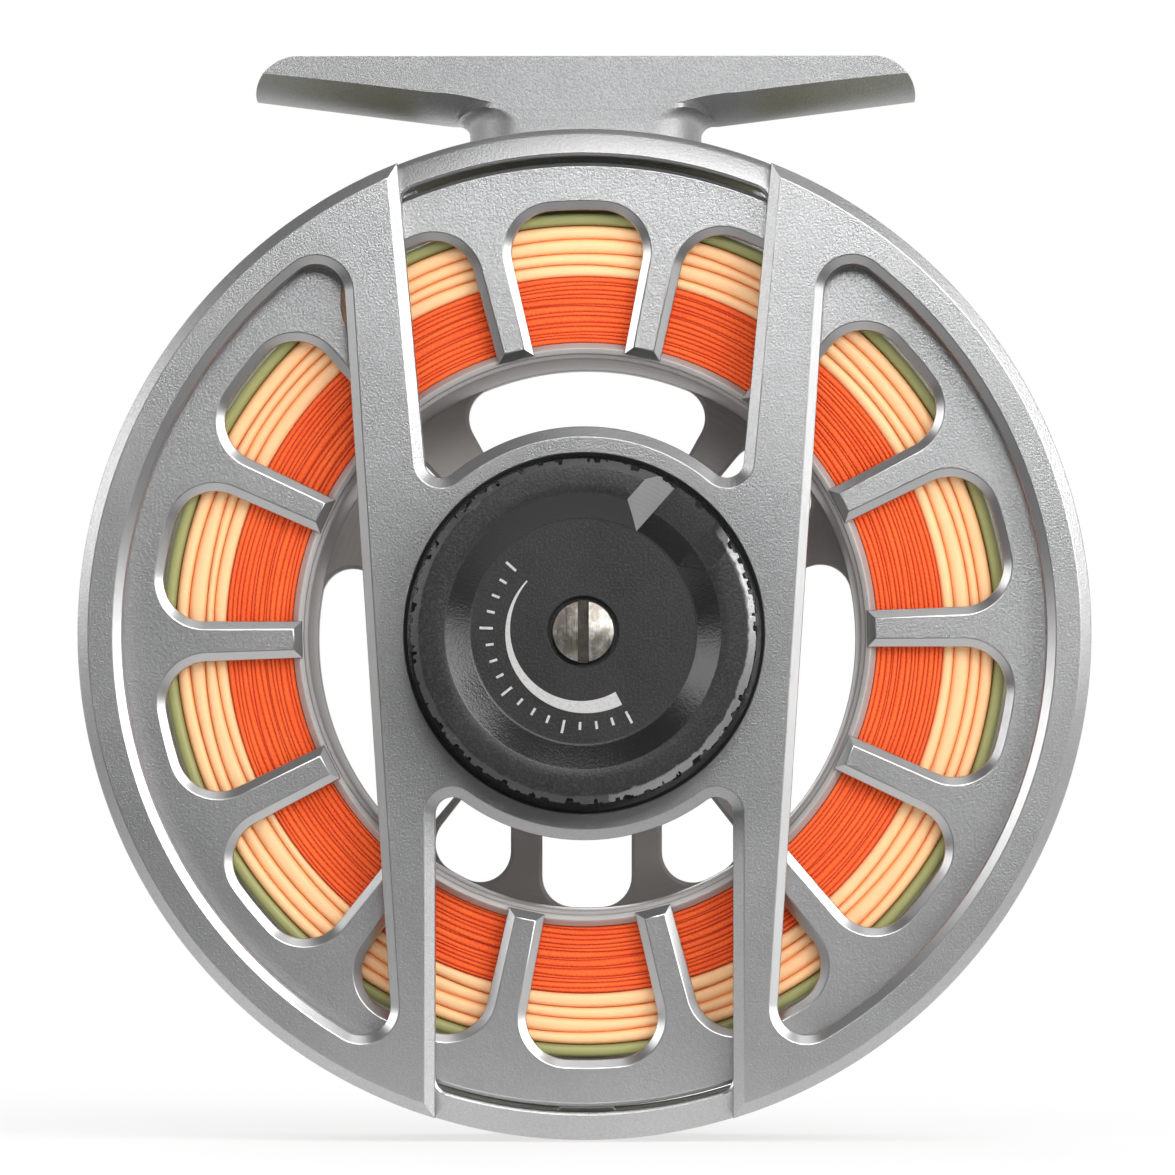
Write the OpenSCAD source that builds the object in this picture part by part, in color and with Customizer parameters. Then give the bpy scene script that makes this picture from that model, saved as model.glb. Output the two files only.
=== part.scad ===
// Large-arbor fly reel: open ported cage on a rod foot, pull-off spool, sealed disc drag.
// The origin is on the saddle's lowest line, at the middle of the foot. +X runs along
// the foot, +Z goes up to the rod and -Y is the side of the drag knob.
// Inside reel() a piece is drawn as seen from the knob side: x to the right, y up, and
// h, the height above the middle of the foot, towards the knob.

/* [Cage] */
// Outer radius of the cage
frame_r = 48; // [44:0.5:60]
// Radial width of the rim and of the pillars
rim_w = 2.4; // [2:0.1:4]
// How far the middle windows' lip stands inside the rim's bore
window_lip = 0.2; // [0.1:0.05:0.5]
// Radial width of the ring around the side windows
ring_w = 4.2; // [3.4:0.1:6]
// Height of the raised side plates and bars
plate_h = 16; // [14:0.5:20]
// Thickness of the side plates
plate_t = 3.2; // [2.4:0.1:4.4]
// How far the ring sits below the bars at the top and bottom
ring_step = 1.2; // [0.6:0.1:1.6]
// Depth of the rim behind the face of the plates
rim_depth = 6.6; // [5:0.2:9]
// Depth of the front ring
front_ring_t = 4; // [3:0.2:6]
// Radius of the hub disc between the bars
hub_r = 19.6; // [18.6:0.2:21]
// Half the gap between the upper bars, at the axis
bar_gap_top = 13.63; // [12.6:0.1:15]
// Lean of the inner edges of the upper bars
bar_lean_top = 5.26; // [0:0.5:8]
// Half the gap between the lower bars
bar_gap_low = 14.1; // [12:0.1:16]
// Distance of the bars' outer edges from the middle, at the axis
bar_out = 20.6; // [20.2:0.1:24]
// Lean of the bars' outer edges
bar_lean_out = 3.72; // [0:0.5:6]
// Corner radius of the side windows
window_f = 1.6; // [0.8:0.2:3]
// Half the angle of the bridge under the foot
bridge_a = 21; // [16:1:28]
// Half the angle of the narrow pillars
pillar_a = 3.6; // [2.5:0.5:6]

/* [Foot] */
// Length of the foot
foot_len = 63.5; // [56:0.5:72]
// Width of the foot
foot_w = 14; // [12:0.5:16]
// Radius of the saddle that meets the rod
saddle_r = 9.6; // [8.5:0.1:12]
// Height of the saddle above the top of the cage
foot_rise = 4.5; // [4:0.1:8]
// How far the tips' ends lie below the foot's edges
tip_drop = 3.4; // [3:0.1:5]
// Length of the rounding of the tips
tip_run = 3.2; // [2:0.1:5]
// Thickness of the foot's edge along its sides
tip_t = 1.6; // [1.2:0.1:2.4]
// Depth of the foot below the saddle where it meets the pedestal
root_t = 3; // [2.6:0.1:4]
// Width of the pedestal
pedestal_w = 22.3; // [18:0.1:28]
// Depth of the pedestal
pedestal_d = 13.9; // [11:0.1:14]
// Corner radius of the pedestal
pedestal_f = 4.6; // [3:0.1:5]
// Distance between the two foot screws
foot_pitch = 12; // [10:0.5:16]

/* [Spool] */
// Radial gap between the spool and the cage
rim_gap = 0.7; // [0.5:0.05:1.2]
// Height of the outside of the rear flange
flange_top = 12.2; // [11:0.1:13]
// Thickness of the rear flange
rear_t = 1.8; // [1.4:0.1:2.4]
// Width of the line space between the flanges
line_w = 20; // [16:0.5:24]
// Thickness of the front flange
front_t = 2; // [1.6:0.1:2.6]
// Outer radius of the arbor
arbor_r = 27.8; // [26:0.1:29]
// Wall of the arbor
arbor_t = 1.6; // [0.8:0.1:2]
// Number of windows in each flange
windows = 14; // [10:1:18]
// Radial width of the flange outside the windows
flange_edge = 3.7; // [2.6:0.1:6]
// Width of a spoke at the arbor
spoke_in = 3.5; // [2:0.1:4]
// Width of a spoke at its outer end
spoke_out = 3.9; // [2.4:0.1:5]
// Corner radius of the windows' outer ends
spoke_f = 4; // [2:0.2:5]
// Thickness of the web that joins the arbor to the hub
web_t = 2.6; // [2:0.1:4]
// Inner radius of the web's ports
port_in = 16; // [14:0.2:18]
// Radius of the spool's hub
spool_hub_r = 12.4; // [11.6:0.1:13.6]

/* [Line] */
// Outer radius of the backing
backing_r = 34.1; // [31:0.1:36]
// Outer radius of the running line
running_r = 39; // [36.5:0.1:39.4]
// Outer radius of the full line
line_r = 40.3; // [39.8:0.1:41]

/* [Handle] */
// Radius at which the handle stands on the front flange
handle_at = 34.5; // [31:0.5:36]
// Length of the handle
handle_len = 20.6; // [16:0.2:26]
// Largest radius of the handle
handle_r = 6.4; // [5:0.1:8]
// Radius of the handle's shaft
post_r = 2.2; // [1.6:0.1:3]
// Radius at which the counterweight sits
weight_at = 37.4; // [34:0.2:38]
// Radius of the counterweight
weight_r = 5.6; // [4:0.1:6]
// Height of the counterweight
weight_t = 3.6; // [2:0.2:5]

/* [Drag knob] */
// Radius of the knob
knob_r = 16.4; // [15.2:0.1:19]
// Height of the knob
knob_t = 7.1; // [6.4:0.1:9]
// Gap between the knob and the hub disc
knob_gap = 0.3; // [0.2:0.05:0.6]
// Radius of the inner edge of the knob's raised ring
knob_ring = 13.1; // [12.4:0.1:14]
// Radius of the recessed disc
knob_disc = 10.7; // [9.5:0.1:11.5]
// Depth of the recessed disc
knob_dish = 1.5; // [1:0.1:2]
// Angle of the notch through the ring
notch_at = 48; // [0:1:90]
// Width of the notch at its floor
notch_w = 5.5; // [4:0.1:7]
// Number of flutes around the knob
flutes = 44; // [24:1:60]
// Radius of a flute
flute_r = 0.7; // [0.4:0.05:1]
// Radius of the centre screw's head
screw_head_r = 2.95; // [2.4:0.05:3.4]
// Across flats of the drag nut
nut_af = 12; // [10:0.5:13]

/* [Drag] */
// Outer radius of the drag housing
housing_r = 17.6; // [17.2:0.1:18.4]
// Wall of the drag housing
housing_t = 2.2; // [2:0.1:2.6]
// Radius of the drag discs
disc_r = 14.8; // [13:0.1:15]
// Thickness of a friction disc
carbon_t = 0.8; // [0.6:0.1:1.2]
// Thickness of a metal disc
plate_disc_t = 1.2; // [1:0.1:1.6]
// Outer radius of the rotor's tube
tube_r = 9.2; // [8.8:0.1:9.8]
// Radius of the clutch rollers
roller_r = 0.8; // [0.6:0.05:0.9]
// Number of clutch rollers
rollers = 10; // [6:1:12]
// Radius of the spindle
spindle_r = 3; // [2.4:0.1:3.4]
// Across flats of the drive hexagon
drive_af = 16; // [15:0.2:17]
// Width of a bearing
bearing_w = 2.8; // [2:0.1:3.2]
// Number of balls in a bearing
balls = 9; // [6:1:10]

/* [Fits] */
// Running clearance of shafts and sleeves, on the radius
run = 0.05; // [0.02:0.01:0.09]
// Axial clearance between pieces that turn past each other
pass = 0.1; // [0.05:0.05:0.2]
// Clearance of a loose fit, on the radius
loose = 0.4; // [0.3:0.05:0.6]

/* [Hidden] */
$fn = 96;
over = 1;                                     // overshoot of a cut past a face
rim_in = frame_r - rim_w;                     // bore of the cage
ring_in = frame_r - ring_w;                   // edge of the side windows
plate_back = plate_h - plate_t;
flange_r = rim_in - rim_gap;
line_hi = flange_top - rear_t;                // line space, knob side
line_lo = line_hi - line_w;                   // line space, handle side
spool_face = line_lo - front_t;
ring_face = spool_face - ring_step;           // outside of the front ring
ring_back = ring_face + front_ring_t;
rim_back = plate_h - rim_depth;
arbor_in = arbor_r - arbor_t;
window_out = flange_r - flange_edge;
land = frame_r;                               // flat under the pedestal
axis_drop = land + foot_rise;                 // saddle above the reel's axis
foot_f = 1.6;                                 // run of the fillet at the pedestal
foot_screw_r = 1.25;
foot_head_r = 2.3;
foot_head_h = 1.6;
thread_r = 2.5;                               // rear thread of the spindle
tip_r = 2.2;                                  // front thread of the spindle
cover_gap = 0.4;                              // between the drag cover and the spool's hub
hub_back = plate_back - 14.8;                 // rear face of the spool's hub
cover_face = hub_back + cover_gap;
cover_t = 1.6;
cup_end = cover_face + cover_t;               // front end of the housing's wall
cup_in = housing_r - housing_t;
wall_mid = housing_r - housing_t / 2;
plate_top = plate_back - 0.5;                 // pressure plate
plate_low = plate_top - plate_disc_t;
carbon1 = plate_low - carbon_t;
rotor_low = carbon1 - plate_disc_t;
carbon2 = rotor_low - carbon_t;
stator_low = carbon2 - plate_disc_t;
shoulder_r = 12.8;                            // bore of the cover's sleeve
tube_in = tube_r - 1.6;
cup_w = 1;                                    // wall of the clutch's cup
tube_low = cup_end + 0.4;
roller_at = tube_in - cup_w - roller_r - run;
journal_r = roller_at - roller_r - run;
seal_r = 7;                                   // shaft under the seal
seal_out = 9.5;
drive_low = spool_face + 0.6;                 // front face of the drive hexagon
lip_low = drive_low - 1.4;
lip_r = 7.4;
hex_in = drive_af / 2;
race_out = 6.5;
race_t = 0.85;
ball_at = (race_out + spindle_r) / 2;
ball_r = (race_out - spindle_r) / 2 - race_t - run;
bear1 = hub_back - 0.2;                       // rear bearing, knob side
bear2 = drive_low + bearing_w;                // front bearing, knob side
nut_top = plate_h + 3.8;
nut_low = nut_top - 2.2;
pin_at = 6;
pin_r = 0.9;
click_in = 7.8;
click_out = 10.6;
click_t = 0.6;
knob_low = plate_h + knob_gap;
knob_top = knob_low + knob_t;
disc_h = knob_top - knob_dish;
pocket_r = click_out + 0.6;
pocket_h = plate_h + 1.4;
head_h = disc_h - 1;                          // seat of the centre screw
screw_r = 1.5;
cap_t = 1.8;
cap_r = 13;
cap_pocket = 8.6;
cap_screw_at = 11.05;
handle_low = spool_face - 1 - pass;           // inner end of the handle
handle_end = handle_low - handle_len;

// Turns a point by an angle.
function turn(p, a) = [p[0] * cos(a) - p[1] * sin(a), p[0] * sin(a) + p[1] * cos(a)];
// Direction of a vector.
function dir(v) = atan2(v[1], v[0]);
// The end angle, taken the counter-clockwise way from the start.
function ccw(a, b) = b < a ? ccw(a, b + 360) : b > a + 360 ? ccw(a, b - 360) : b;
// Points of an arc about c from angle a to angle b in n steps.
function arc(c, r, a, b, n) = [for (i = [0:n]) c + r * [cos(a + (b - a) * i / n),
                                                         sin(a + (b - a) * i / n)]];
// Centre of a fillet that touches a line and a circle about the axis. The line's unit
// normal nv points into the window, u runs along it, and rho is the centre's radius.
function seat(nv, u, d, f, rho) =
  (d + f) * nv + sqrt(rho * rho - (d + f) * (d + f)) * u;
// Outline between two straight sides and two arcs about the axis, fillets at the corners.
function sector(n1, d1, n2, d2, r1, r2, f1, f2, m) =
  let (u1 = turn(n1, -90), u2 = turn(n2, 90),
       c1 = seat(n1, u1, d1, f2, r2 - f2), c2 = seat(n2, u2, d2, f2, r2 - f2),
       c3 = seat(n2, u2, d2, f1, r1 + f1), c4 = seat(n1, u1, d1, f1, r1 + f1),
       a1 = dir(-n1), b1 = ccw(a1, dir(c1)), b2 = ccw(dir(c2), dir(-n2)),
       a3 = dir(-n2), b3 = ccw(a3, dir(-c3)), a4 = dir(-c4), b4 = ccw(a4, dir(-n1)),
       o2 = ccw(dir(c1), dir(c2)), i1 = ccw(dir(c4), dir(c3)))
  concat(arc(c1, f2, a1, b1, 5),
         [for (i = [1:m - 1]) r2 * [cos(dir(c1) + (o2 - dir(c1)) * i / m),
                                    sin(dir(c1) + (o2 - dir(c1)) * i / m)]],
         arc(c2, f2, dir(c2), b2, 5), arc(c3, f1, a3, b3, 5),
         [for (i = [1:m - 1]) r1 * [cos(i1 + (dir(c4) - i1) * i / m),
                                    sin(i1 + (dir(c4) - i1) * i / m)]],
         arc(c4, f1, a4, b4, 5));
// Outline between a straight side and the ring, for the side windows.
function segment(nv, d, r, f, m) =
  let (c1 = seat(nv, turn(nv, -90), d, f, r - f), c2 = seat(nv, turn(nv, 90), d, f, r - f),
       b1 = ccw(dir(-nv), dir(c1)), o = ccw(dir(c1), dir(c2)), b2 = ccw(dir(c2), dir(-nv)))
  concat(arc(c1, f, dir(-nv), b1, 6),
         [for (i = [1:m - 1]) r * [cos(dir(c1) + (o - dir(c1)) * i / m),
                                   sin(dir(c1) + (o - dir(c1)) * i / m)]],
         arc(c2, f, dir(c2), b2, 6));

// Places a piece drawn from the knob side on the reel's axis.
module reel() { translate([0, 0, -axis_drop]) rotate([90, 0, 0]) children(); }
// A round bar between two heights.
module rod(r, a, b) { translate([0, 0, min(a, b)]) cylinder(r = r, h = abs(b - a)); }
// A tube between two heights.
module tube(r_out, r_in, a, b) {
  difference() {
    rod(r_out, a, b);
    rod(r_in, min(a, b) - over, max(a, b) + over);
  }
}
// A hexagonal bar between two heights.
module hex(af, a, b) {
  translate([0, 0, min(a, b)]) cylinder(r = af / 2 / cos(30), h = abs(b - a), $fn = 6);
}
// A flat outline between two heights.
module slab(points, a, b) {
  translate([0, 0, min(a, b)]) linear_extrude(height = abs(b - a)) polygon(points);
}
// Copies around the axis.
module around(n, r, first) {
  for (i = [0:n - 1]) rotate(first + i * 360 / n) translate([r, 0, 0]) children();
}
// A piece of the rim between two angles.
module pillar(at, half, a, b) {
  intersection() {
    tube(frame_r, rim_in, a, b);
    slab([[0, 0], 2 * frame_r * [cos(at - half), sin(at - half)],
          2 * frame_r * [cos(at + half), sin(at + half)]], a, b);
  }
}

// Cage: side plates, bars, rim, pillars, front ring and the cup of the drag.
module frame() {
  nt = turn([-1, 0], -bar_lean_top);
  reel() color("silver") difference() {
    union() {
      rod(frame_r, plate_back, plate_h);
      tube(frame_r, rim_in, rim_back, plate_h - ring_step);
      tube(frame_r, rim_in, ring_face, ring_back);
      pillar(90, bridge_a, ring_back - over, rim_back + over);
      for (at = [212, 270, 328]) pillar(at, pillar_a, ring_back - over, rim_back + over);
      intersection() {
        rod(frame_r + over, ring_back - over, rim_back + over);
        translate([-pedestal_w / 2, rim_in + 0.2, -pedestal_d / 2])
          cube([pedestal_w, land - rim_in - 0.2, pedestal_d]);
      }
      tube(housing_r, cup_in, cup_end, plate_back + 0.2);
    }
    for (s = [0, 180])
      rotate([0, s, 0]) slab(segment(turn([1, 0], -bar_lean_out), bar_out * cos(bar_lean_out),
                                      ring_in, window_f, 24),
                             s == 0 ? plate_back - over : -plate_h - over,
                             s == 0 ? plate_h + over : -plate_back + over);
    slab(sector(nt, -bar_gap_top * cos(bar_lean_top), [-nt[0], nt[1]],
                -bar_gap_top * cos(bar_lean_top), hub_r, rim_in - window_lip, window_f, window_f,
                14),
         plate_back - over, plate_h + over);
    slab(sector([1, 0], -bar_gap_low, [-1, 0], -bar_gap_low, hub_r, rim_in - window_lip,
                window_f, window_f, 14),
         plate_back - over, plate_h + over);
    slab([turn([bar_gap_top, hub_r], 0), [bar_gap_top + frame_r * tan(bar_lean_top) + 0.6,
          frame_r + over], [-bar_gap_top - frame_r * tan(bar_lean_top) - 0.6,
          frame_r + over], [-bar_gap_top, hub_r]], plate_h - ring_step, plate_h + over);
    translate([-bar_gap_low, -frame_r - over, plate_h - ring_step])
      cube([2 * bar_gap_low, frame_r + over - hub_r, ring_step + over]);
    rod(spindle_r + run, plate_back - over, plate_h + over);
    around(3, pin_at, 90) rod(pin_r + run, plate_back - over, plate_h + over);
    around(3, wall_mid, 30) rod(0.8, cup_end - over, cup_end + 5);
    for (s = [-1, 1]) translate([s * foot_pitch / 2, rim_in + 0.4, 0]) rotate([-90, 0, 0])
      rod(foot_screw_r + run, 0, frame_r);
  }
}
// Rounded outline of the pedestal.
module pedestal_outline() {
  cx = pedestal_w / 2 - pedestal_f;
  cy = pedestal_d / 2 - pedestal_f;
  polygon(concat(arc([cx, cy], pedestal_f, 0, 90, 8), arc([-cx, cy], pedestal_f, 90, 180, 8),
                 arc([-cx, -cy], pedestal_f, 180, 270, 8), arc([cx, -cy], pedestal_f, 270, 360, 8)));
}
// Rod foot with its saddle, pedestal and two counterbored screw holes.
module reel_foot() {
  hl = foot_len / 2;
  edge = saddle_r - sqrt(saddle_r * saddle_r - foot_w * foot_w / 4);
  tip = [for (i = [0:8]) [-hl + tip_run * (1 - cos(i * 11.25)),
                          edge - tip_drop * (1 - sin(i * 11.25))]];
  saddle_a = asin(foot_w / 2 / saddle_r);
  color("silver") difference() {
    union() {
      intersection() {
        rotate([90, 0, 0]) linear_extrude(height = foot_w, center = true)
          polygon(concat(tip, [for (i = [8:-1:0]) [-tip[i][0], tip[i][1]]],
                         [[pedestal_w / 2 + foot_f, -root_t],
                          [-pedestal_w / 2 - foot_f, -root_t]]));
        rotate([90, 0, 90]) linear_extrude(height = foot_len + over, center = true)
          polygon(concat(arc([0, saddle_r], saddle_r, -90 - saddle_a, -90 + saddle_a, 24),
                         [[foot_w / 2, -tip_t], [foot_w * 0.36, -root_t - 0.6],
                          [-foot_w * 0.36, -root_t - 0.6], [-foot_w / 2, -tip_t]]));
      }
      translate([0, 0, land - axis_drop]) linear_extrude(height = foot_rise - root_t + 2)
        pedestal_outline();
    }
    for (s = [-1, 1]) translate([s * foot_pitch / 2, 0, 0]) {
      rod(foot_screw_r + run, -axis_drop / 2, over);
      rod(foot_head_r + run, -foot_head_h, saddle_r);
    }
  }
}
// Two screws that hold the foot to the cage.
module foot_screws() {
  color("dimgray") for (s = [-1, 1]) translate([s * foot_pitch / 2, 0, 0]) difference() {
    union() {
      rod(foot_head_r, -foot_head_h, -0.1);
      rod(foot_screw_r, rim_in + 0.6 - axis_drop, 0.1 - foot_head_h);
    }
    hex(2, -1, 0);
  }
}
// Fixed spindle: flange inside the cage, rear and front threads.
module spindle() {
  reel() color("silver") difference() {
    union() {
      rod(spindle_r, bear2 - bearing_w, plate_h + 0.4);
      rod(spindle_r + 1.2, plate_back - 0.9, plate_back);
      rod(thread_r, plate_h, nut_top - 0.2);
      rod(tip_r, lip_low, bear2);
    }
    rod(screw_r + run, plate_h - 2, nut_top + over);
  }
}
// Slotted screw in the middle of the drag knob.
module knob_screw() {
  reel() color("silver") difference() {
    union() {
      rod(screw_head_r, head_h + run, disc_h + 0.3);
      rod(screw_r, plate_h - 1.8, head_h + 0.2);
    }
    translate([-0.55, -screw_head_r - over, disc_h - 0.4])
      cube([1.1, 2 * (screw_head_r + over), 2]);
  }
}
// Front cover of the drag housing, with the sleeve that carries the fixed disc.
module drag_cover() {
  reel() color("gainsboro") difference() {
    union() {
      rod(housing_r, cover_face, cup_end);
      rod(cup_in - run, cup_end - 0.2, stator_low);
    }
    rod(seal_out, cover_face - over, cup_end + over);
    rod(shoulder_r, cup_end, stator_low + over);
    around(3, wall_mid, 30) rod(0.8 + run, cover_face - over, cup_end + over);
    rotate_extrude() translate([cup_in - run, cup_end + 2]) square([1.3, 1.1], center = true);
  }
}
// Three screws through the drag cover.
module cover_screws() {
  reel() color("silver") around(3, wall_mid, 30) rod(0.75, cover_face + 0.1, cup_end + 4);
}
// Ring seal between the cover and the housing.
module cover_seal() {
  reel() color("dimgray") tube(cup_in - run, cup_in - 0.65, cup_end + 1.5, cup_end + 2.5);
}
// Lip seal on the drive hub.
module shaft_seal() {
  reel() color("dimgray") tube(seal_out - 0.01, seal_r + run, cover_face, cup_end - 0.2);
}
// Ring of notches that the knob's spring clicks over.
module click_ring() {
  reel() color("silver") difference() {
    tube(click_out, click_in, plate_h, plate_h + click_t);
    around(30, click_out, 0) rod(0.45, plate_h - over, plate_h + over);
  }
}
// Three pins that carry the springs' load through the hub.
module pressure_pins() {
  reel() color("silver") around(3, pin_at, 90) rod(pin_r, plate_top, plate_h + 0.5);
}
// Plate that presses the drag stack.
module pressure_plate() {
  reel() color("silver") tube(disc_r, spindle_r + 1.9 - 0.1, plate_low, plate_top);
}
// Two conical springs, back to back.
module drag_springs() {
  ro = pin_at + pin_r + 0.1;
  ri = spindle_r + 0.3;
  reel() color("goldenrod") for (m = [0, 1]) translate([0, 0, plate_h + 0.5 + m * 0.72])
    rotate([m * 180, 0, 0]) rotate_extrude()
      polygon([[ri, 0.1 + 0.0], [ro, 0], [ro, 0.22], [ri, 0.35]]);
}
// Fixed disc on the cover's sleeve.
module stator_disc() {
  reel() color("silver") tube(cup_in - 0.1, tube_r + 0.6, stator_low, carbon2);
}
// Inner races of the two bearings.
module bearing_inner_races() {
  reel() color("silver") for (b = [bear1, bear2])
    tube(spindle_r + race_t, spindle_r, b - bearing_w, b);
}
// Nut that keeps the drive hub on the spindle.
module spindle_nut() {
  reel() color("silver") difference() {
    hex(6.6, lip_low + 0.1, drive_low - run);
    rod(tip_r + 0.01, lip_low - over, drive_low + over);
  }
}
// Rotor: disc and tube that the one-way clutch drives.
module drag_rotor() {
  reel() color("silver") difference() {
    union() {
      rod(disc_r - 0.2, rotor_low, carbon1);
      rod(tube_r, tube_low, carbon1 - 0.2);
    }
    rod(tube_in, tube_low - over, carbon1 + over);
  }
}
// Friction disc on the knob side.
module carbon_disc_rear() {
  reel() color("dimgray") tube(disc_r - 0.2, tube_r - 1.6, carbon1, plate_low);
}
// Friction disc on the handle side.
module carbon_disc_front() {
  reel() color("dimgray") tube(disc_r - 0.2, tube_r + 0.1, carbon2, rotor_low);
}
// Cup of the one-way clutch, pressed into the rotor's tube.
module clutch_cup() {
  reel() color("silver") tube(tube_in, tube_in - cup_w, tube_low + 0.3, carbon1 - 0.3);
}
// Rollers of the one-way clutch.
module clutch_rollers() {
  reel() color("silver") around(rollers, roller_at, 0) rod(roller_r, tube_low + 0.8, carbon1 - 0.8);
}
// Drive hub: journal inside the clutch, seal shoulder, hexagon and grooved lip.
module drive_hub() {
  reel() color("silver") difference() {
    union() {
      rod(journal_r, hub_back, carbon1 - 0.4);
      rod(seal_r, bear1 - 0.4, tube_low - 0.1);
      hex(drive_af, drive_low, hub_back - 0.1);
      rod(lip_r, lip_low, drive_low + 0.2);
    }
    rod(spindle_r + run + 0.01, lip_low - over, carbon1);
    rod(race_out, lip_low - over, bear1);
  }
}
// Outer races of the two bearings.
module bearing_outer_races() {
  reel() color("silver") for (b = [bear1, bear2])
    tube(race_out, race_out - race_t, b - bearing_w, b);
}
// Balls of the two bearings.
module bearing_balls() {
  reel() color("silver") for (b = [bear1, bear2]) around(balls, ball_at, 0)
    translate([0, 0, b - bearing_w / 2]) sphere(r = ball_r, $fn = 48);
}
// Sleeve that keeps the outer races apart.
module bearing_spacer() {
  reel() color("dimgray") tube(race_out - 0.03, race_out - 0.8, bear2 + 0.02,
                               bear1 - bearing_w - 0.02);
}
// A window between two spokes, from the arbor to the flange's edge.
module spool_window(a, r1, r2, f1, a_h, b_h) {
  tilt = atan((spoke_out - spoke_in) / 2 / (window_out - arbor_r));
  d = spoke_in / 2 * cos(tilt) - arbor_r * sin(tilt);
  p = 360 / windows;
  slab(sector(turn([0, 1], a + tilt), d, turn([0, -1], a + p - tilt), d, r1, r2, f1, spoke_f, 6),
       a_h, b_h);
}
// Spool: ported flanges, arbor, web with ports, and the hub with its hexagonal socket.
module spool() {
  ports = [[61, 119], [128, 150], [163, 230], [232, 252], [260, 280], [289, 309],
           [313, 378], [30, 52]];
  p = 360 / windows;
  reel() color("silver") difference() {
    union() {
      difference() {
        tube(flange_r, arbor_in + 0.3, line_hi, flange_top);
        for (i = [0:windows - 1])
          spool_window(90 + (i - 0.5) * p, arbor_in + 0.5, window_out, 0.3,
                       line_hi - over, flange_top + over);
      }
      difference() {
        tube(flange_r, arbor_in + 0.3, spool_face, line_lo);
        for (i = [0:windows - 1]) if (i != 0 && i != floor(windows / 2))
          spool_window(90 + (i - 0.5) * p, arbor_r + 3.2, window_out - 1, 1.5,
                       spool_face - over, line_lo + over);
      }
      tube(arbor_r, arbor_in, spool_face, flange_top - 1);
      difference() {
        rod(arbor_in + 0.4, line_lo - 0.6, line_lo + web_t - 0.6);
        for (q = ports)
          slab(sector(turn([0, 1], q[0]), 0, turn([0, -1], q[1]), 0, port_in, arbor_in + 0.4,
                      1.6, 0.35, 12), line_lo - over - 1, line_lo + web_t + over);
      }
      rod(spool_hub_r, spool_face, hub_back);
    }
    hex(drive_af + 2 * run, spool_face - over, hub_back + over);
    around(3, cap_screw_at, 90) rod(0.8, spool_face - over, spool_face + 4);
    rotate(-90) translate([handle_at, 0, 0]) rod(post_r - 0.7, spool_face - over, line_lo + over);
    rotate(90) translate([weight_at, 0, 0]) rod(1, spool_face - over, spool_face + 1.6);
  }
}
// Cap over the drive hub.
module spool_cap() {
  reel() color("silver") difference() {
    rod(cap_r, spool_face - cap_t, spool_face);
    rod(cap_pocket, spool_face - cap_t + 0.6, spool_face + over);
    around(3, cap_screw_at, 90) rod(0.8 + run, spool_face - cap_t - over, spool_face + over);
    around(3, cap_screw_at, 90) rod(1.45, spool_face - cap_t - over, spool_face - cap_t + 0.8);
  }
}
// Three screws of the cap.
module cap_screws() {
  reel() color("silver") around(3, cap_screw_at, 90) difference() {
    union() {
      rod(1.4, spool_face - cap_t + 0.1, spool_face - cap_t + 0.8);
      rod(0.78, spool_face - cap_t + 0.7, spool_face + 3.8);
    }
    hex(1.3, spool_face - cap_t - over, spool_face - cap_t + 0.5);
  }
}
// Open ring in the cap that snaps over the drive hub's lip.
module retaining_ring() {
  reel() color("silver") rotate(20) rotate_extrude(angle = 320)
    translate([lip_r + 0.45 + run, (spool_face + drive_low - 1.2) / 2])
      square([0.8, 0.5], center = true);
}
// Counterweight on the front flange, opposite the handle.
module counterweight() {
  reel() color("silver") rotate(90) translate([weight_at, 0, 0]) difference() {
    rod(weight_r, spool_face - weight_t, spool_face);
    rod(1 + run, spool_face - weight_t - over, spool_face + over);
    rod(2.2, spool_face - weight_t - over, spool_face - weight_t + 1.4);
  }
}
// Screw through the counterweight.
module counterweight_screw() {
  reel() color("dimgray") rotate(90) translate([weight_at, 0, 0]) difference() {
    union() {
      rod(2.1, spool_face - weight_t + 0.2, spool_face - weight_t + 1.4);
      rod(0.98, spool_face - weight_t + 1.2, spool_face + 1.5);
    }
    hex(1.8, spool_face - weight_t - over, spool_face - weight_t + 0.9);
  }
}
// Fixed shaft of the handle, with its base on the flange and its end screw.
module handle_post() {
  reel() color("silver") rotate(-90) translate([handle_at, 0, 0]) {
    rod(4, spool_face - 1, spool_face);
    rod(post_r, handle_end + 0.9, spool_face - 0.8);
    rod(post_r - 0.75, spool_face - 0.2, line_lo);
    difference() {
      rod(3.2, handle_end - 0.1, handle_end + 1);
      translate([-4, -0.4, handle_end - over]) cube([8, 0.8, over + 0.4]);
    }
  }
}
// Backing, wound on the arbor.
module backing() {
  reel() color("orangered") tube(backing_r, arbor_r + 0.02, line_lo + 0.1, line_hi - 0.1);
}
// Running line, wound on the backing.
module running_line() {
  reel() color("peachpuff") tube(running_r, backing_r + 0.02, line_lo + 0.1, line_hi - 0.1);
}
// Last turns of the line.
module line_head() {
  reel() color("olive") tube(line_r, running_r + 0.02, line_lo + 0.1, line_hi - 0.1);
}
// Turning handle, with a waist and a bore for the shaft.
module handle_knob() {
  reel() color("dimgray") rotate(-90) translate([handle_at, 0, handle_low])
    rotate_extrude() polygon([
      [post_r + 1.1, 0], [handle_r * 0.72, 0], [handle_r * 0.78, -0.6],
      [handle_r * 0.7, -handle_len * 0.3], [handle_r * 0.76, -handle_len * 0.5],
      [handle_r * 0.97, -handle_len * 0.84], [handle_r, -handle_len + 1.6],
      [handle_r - 0.7, -handle_len], [3.6, -handle_len], [3.6, -handle_len + 1.4],
      [post_r + 1.1, -handle_len + 1.4]]);
}
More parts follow.
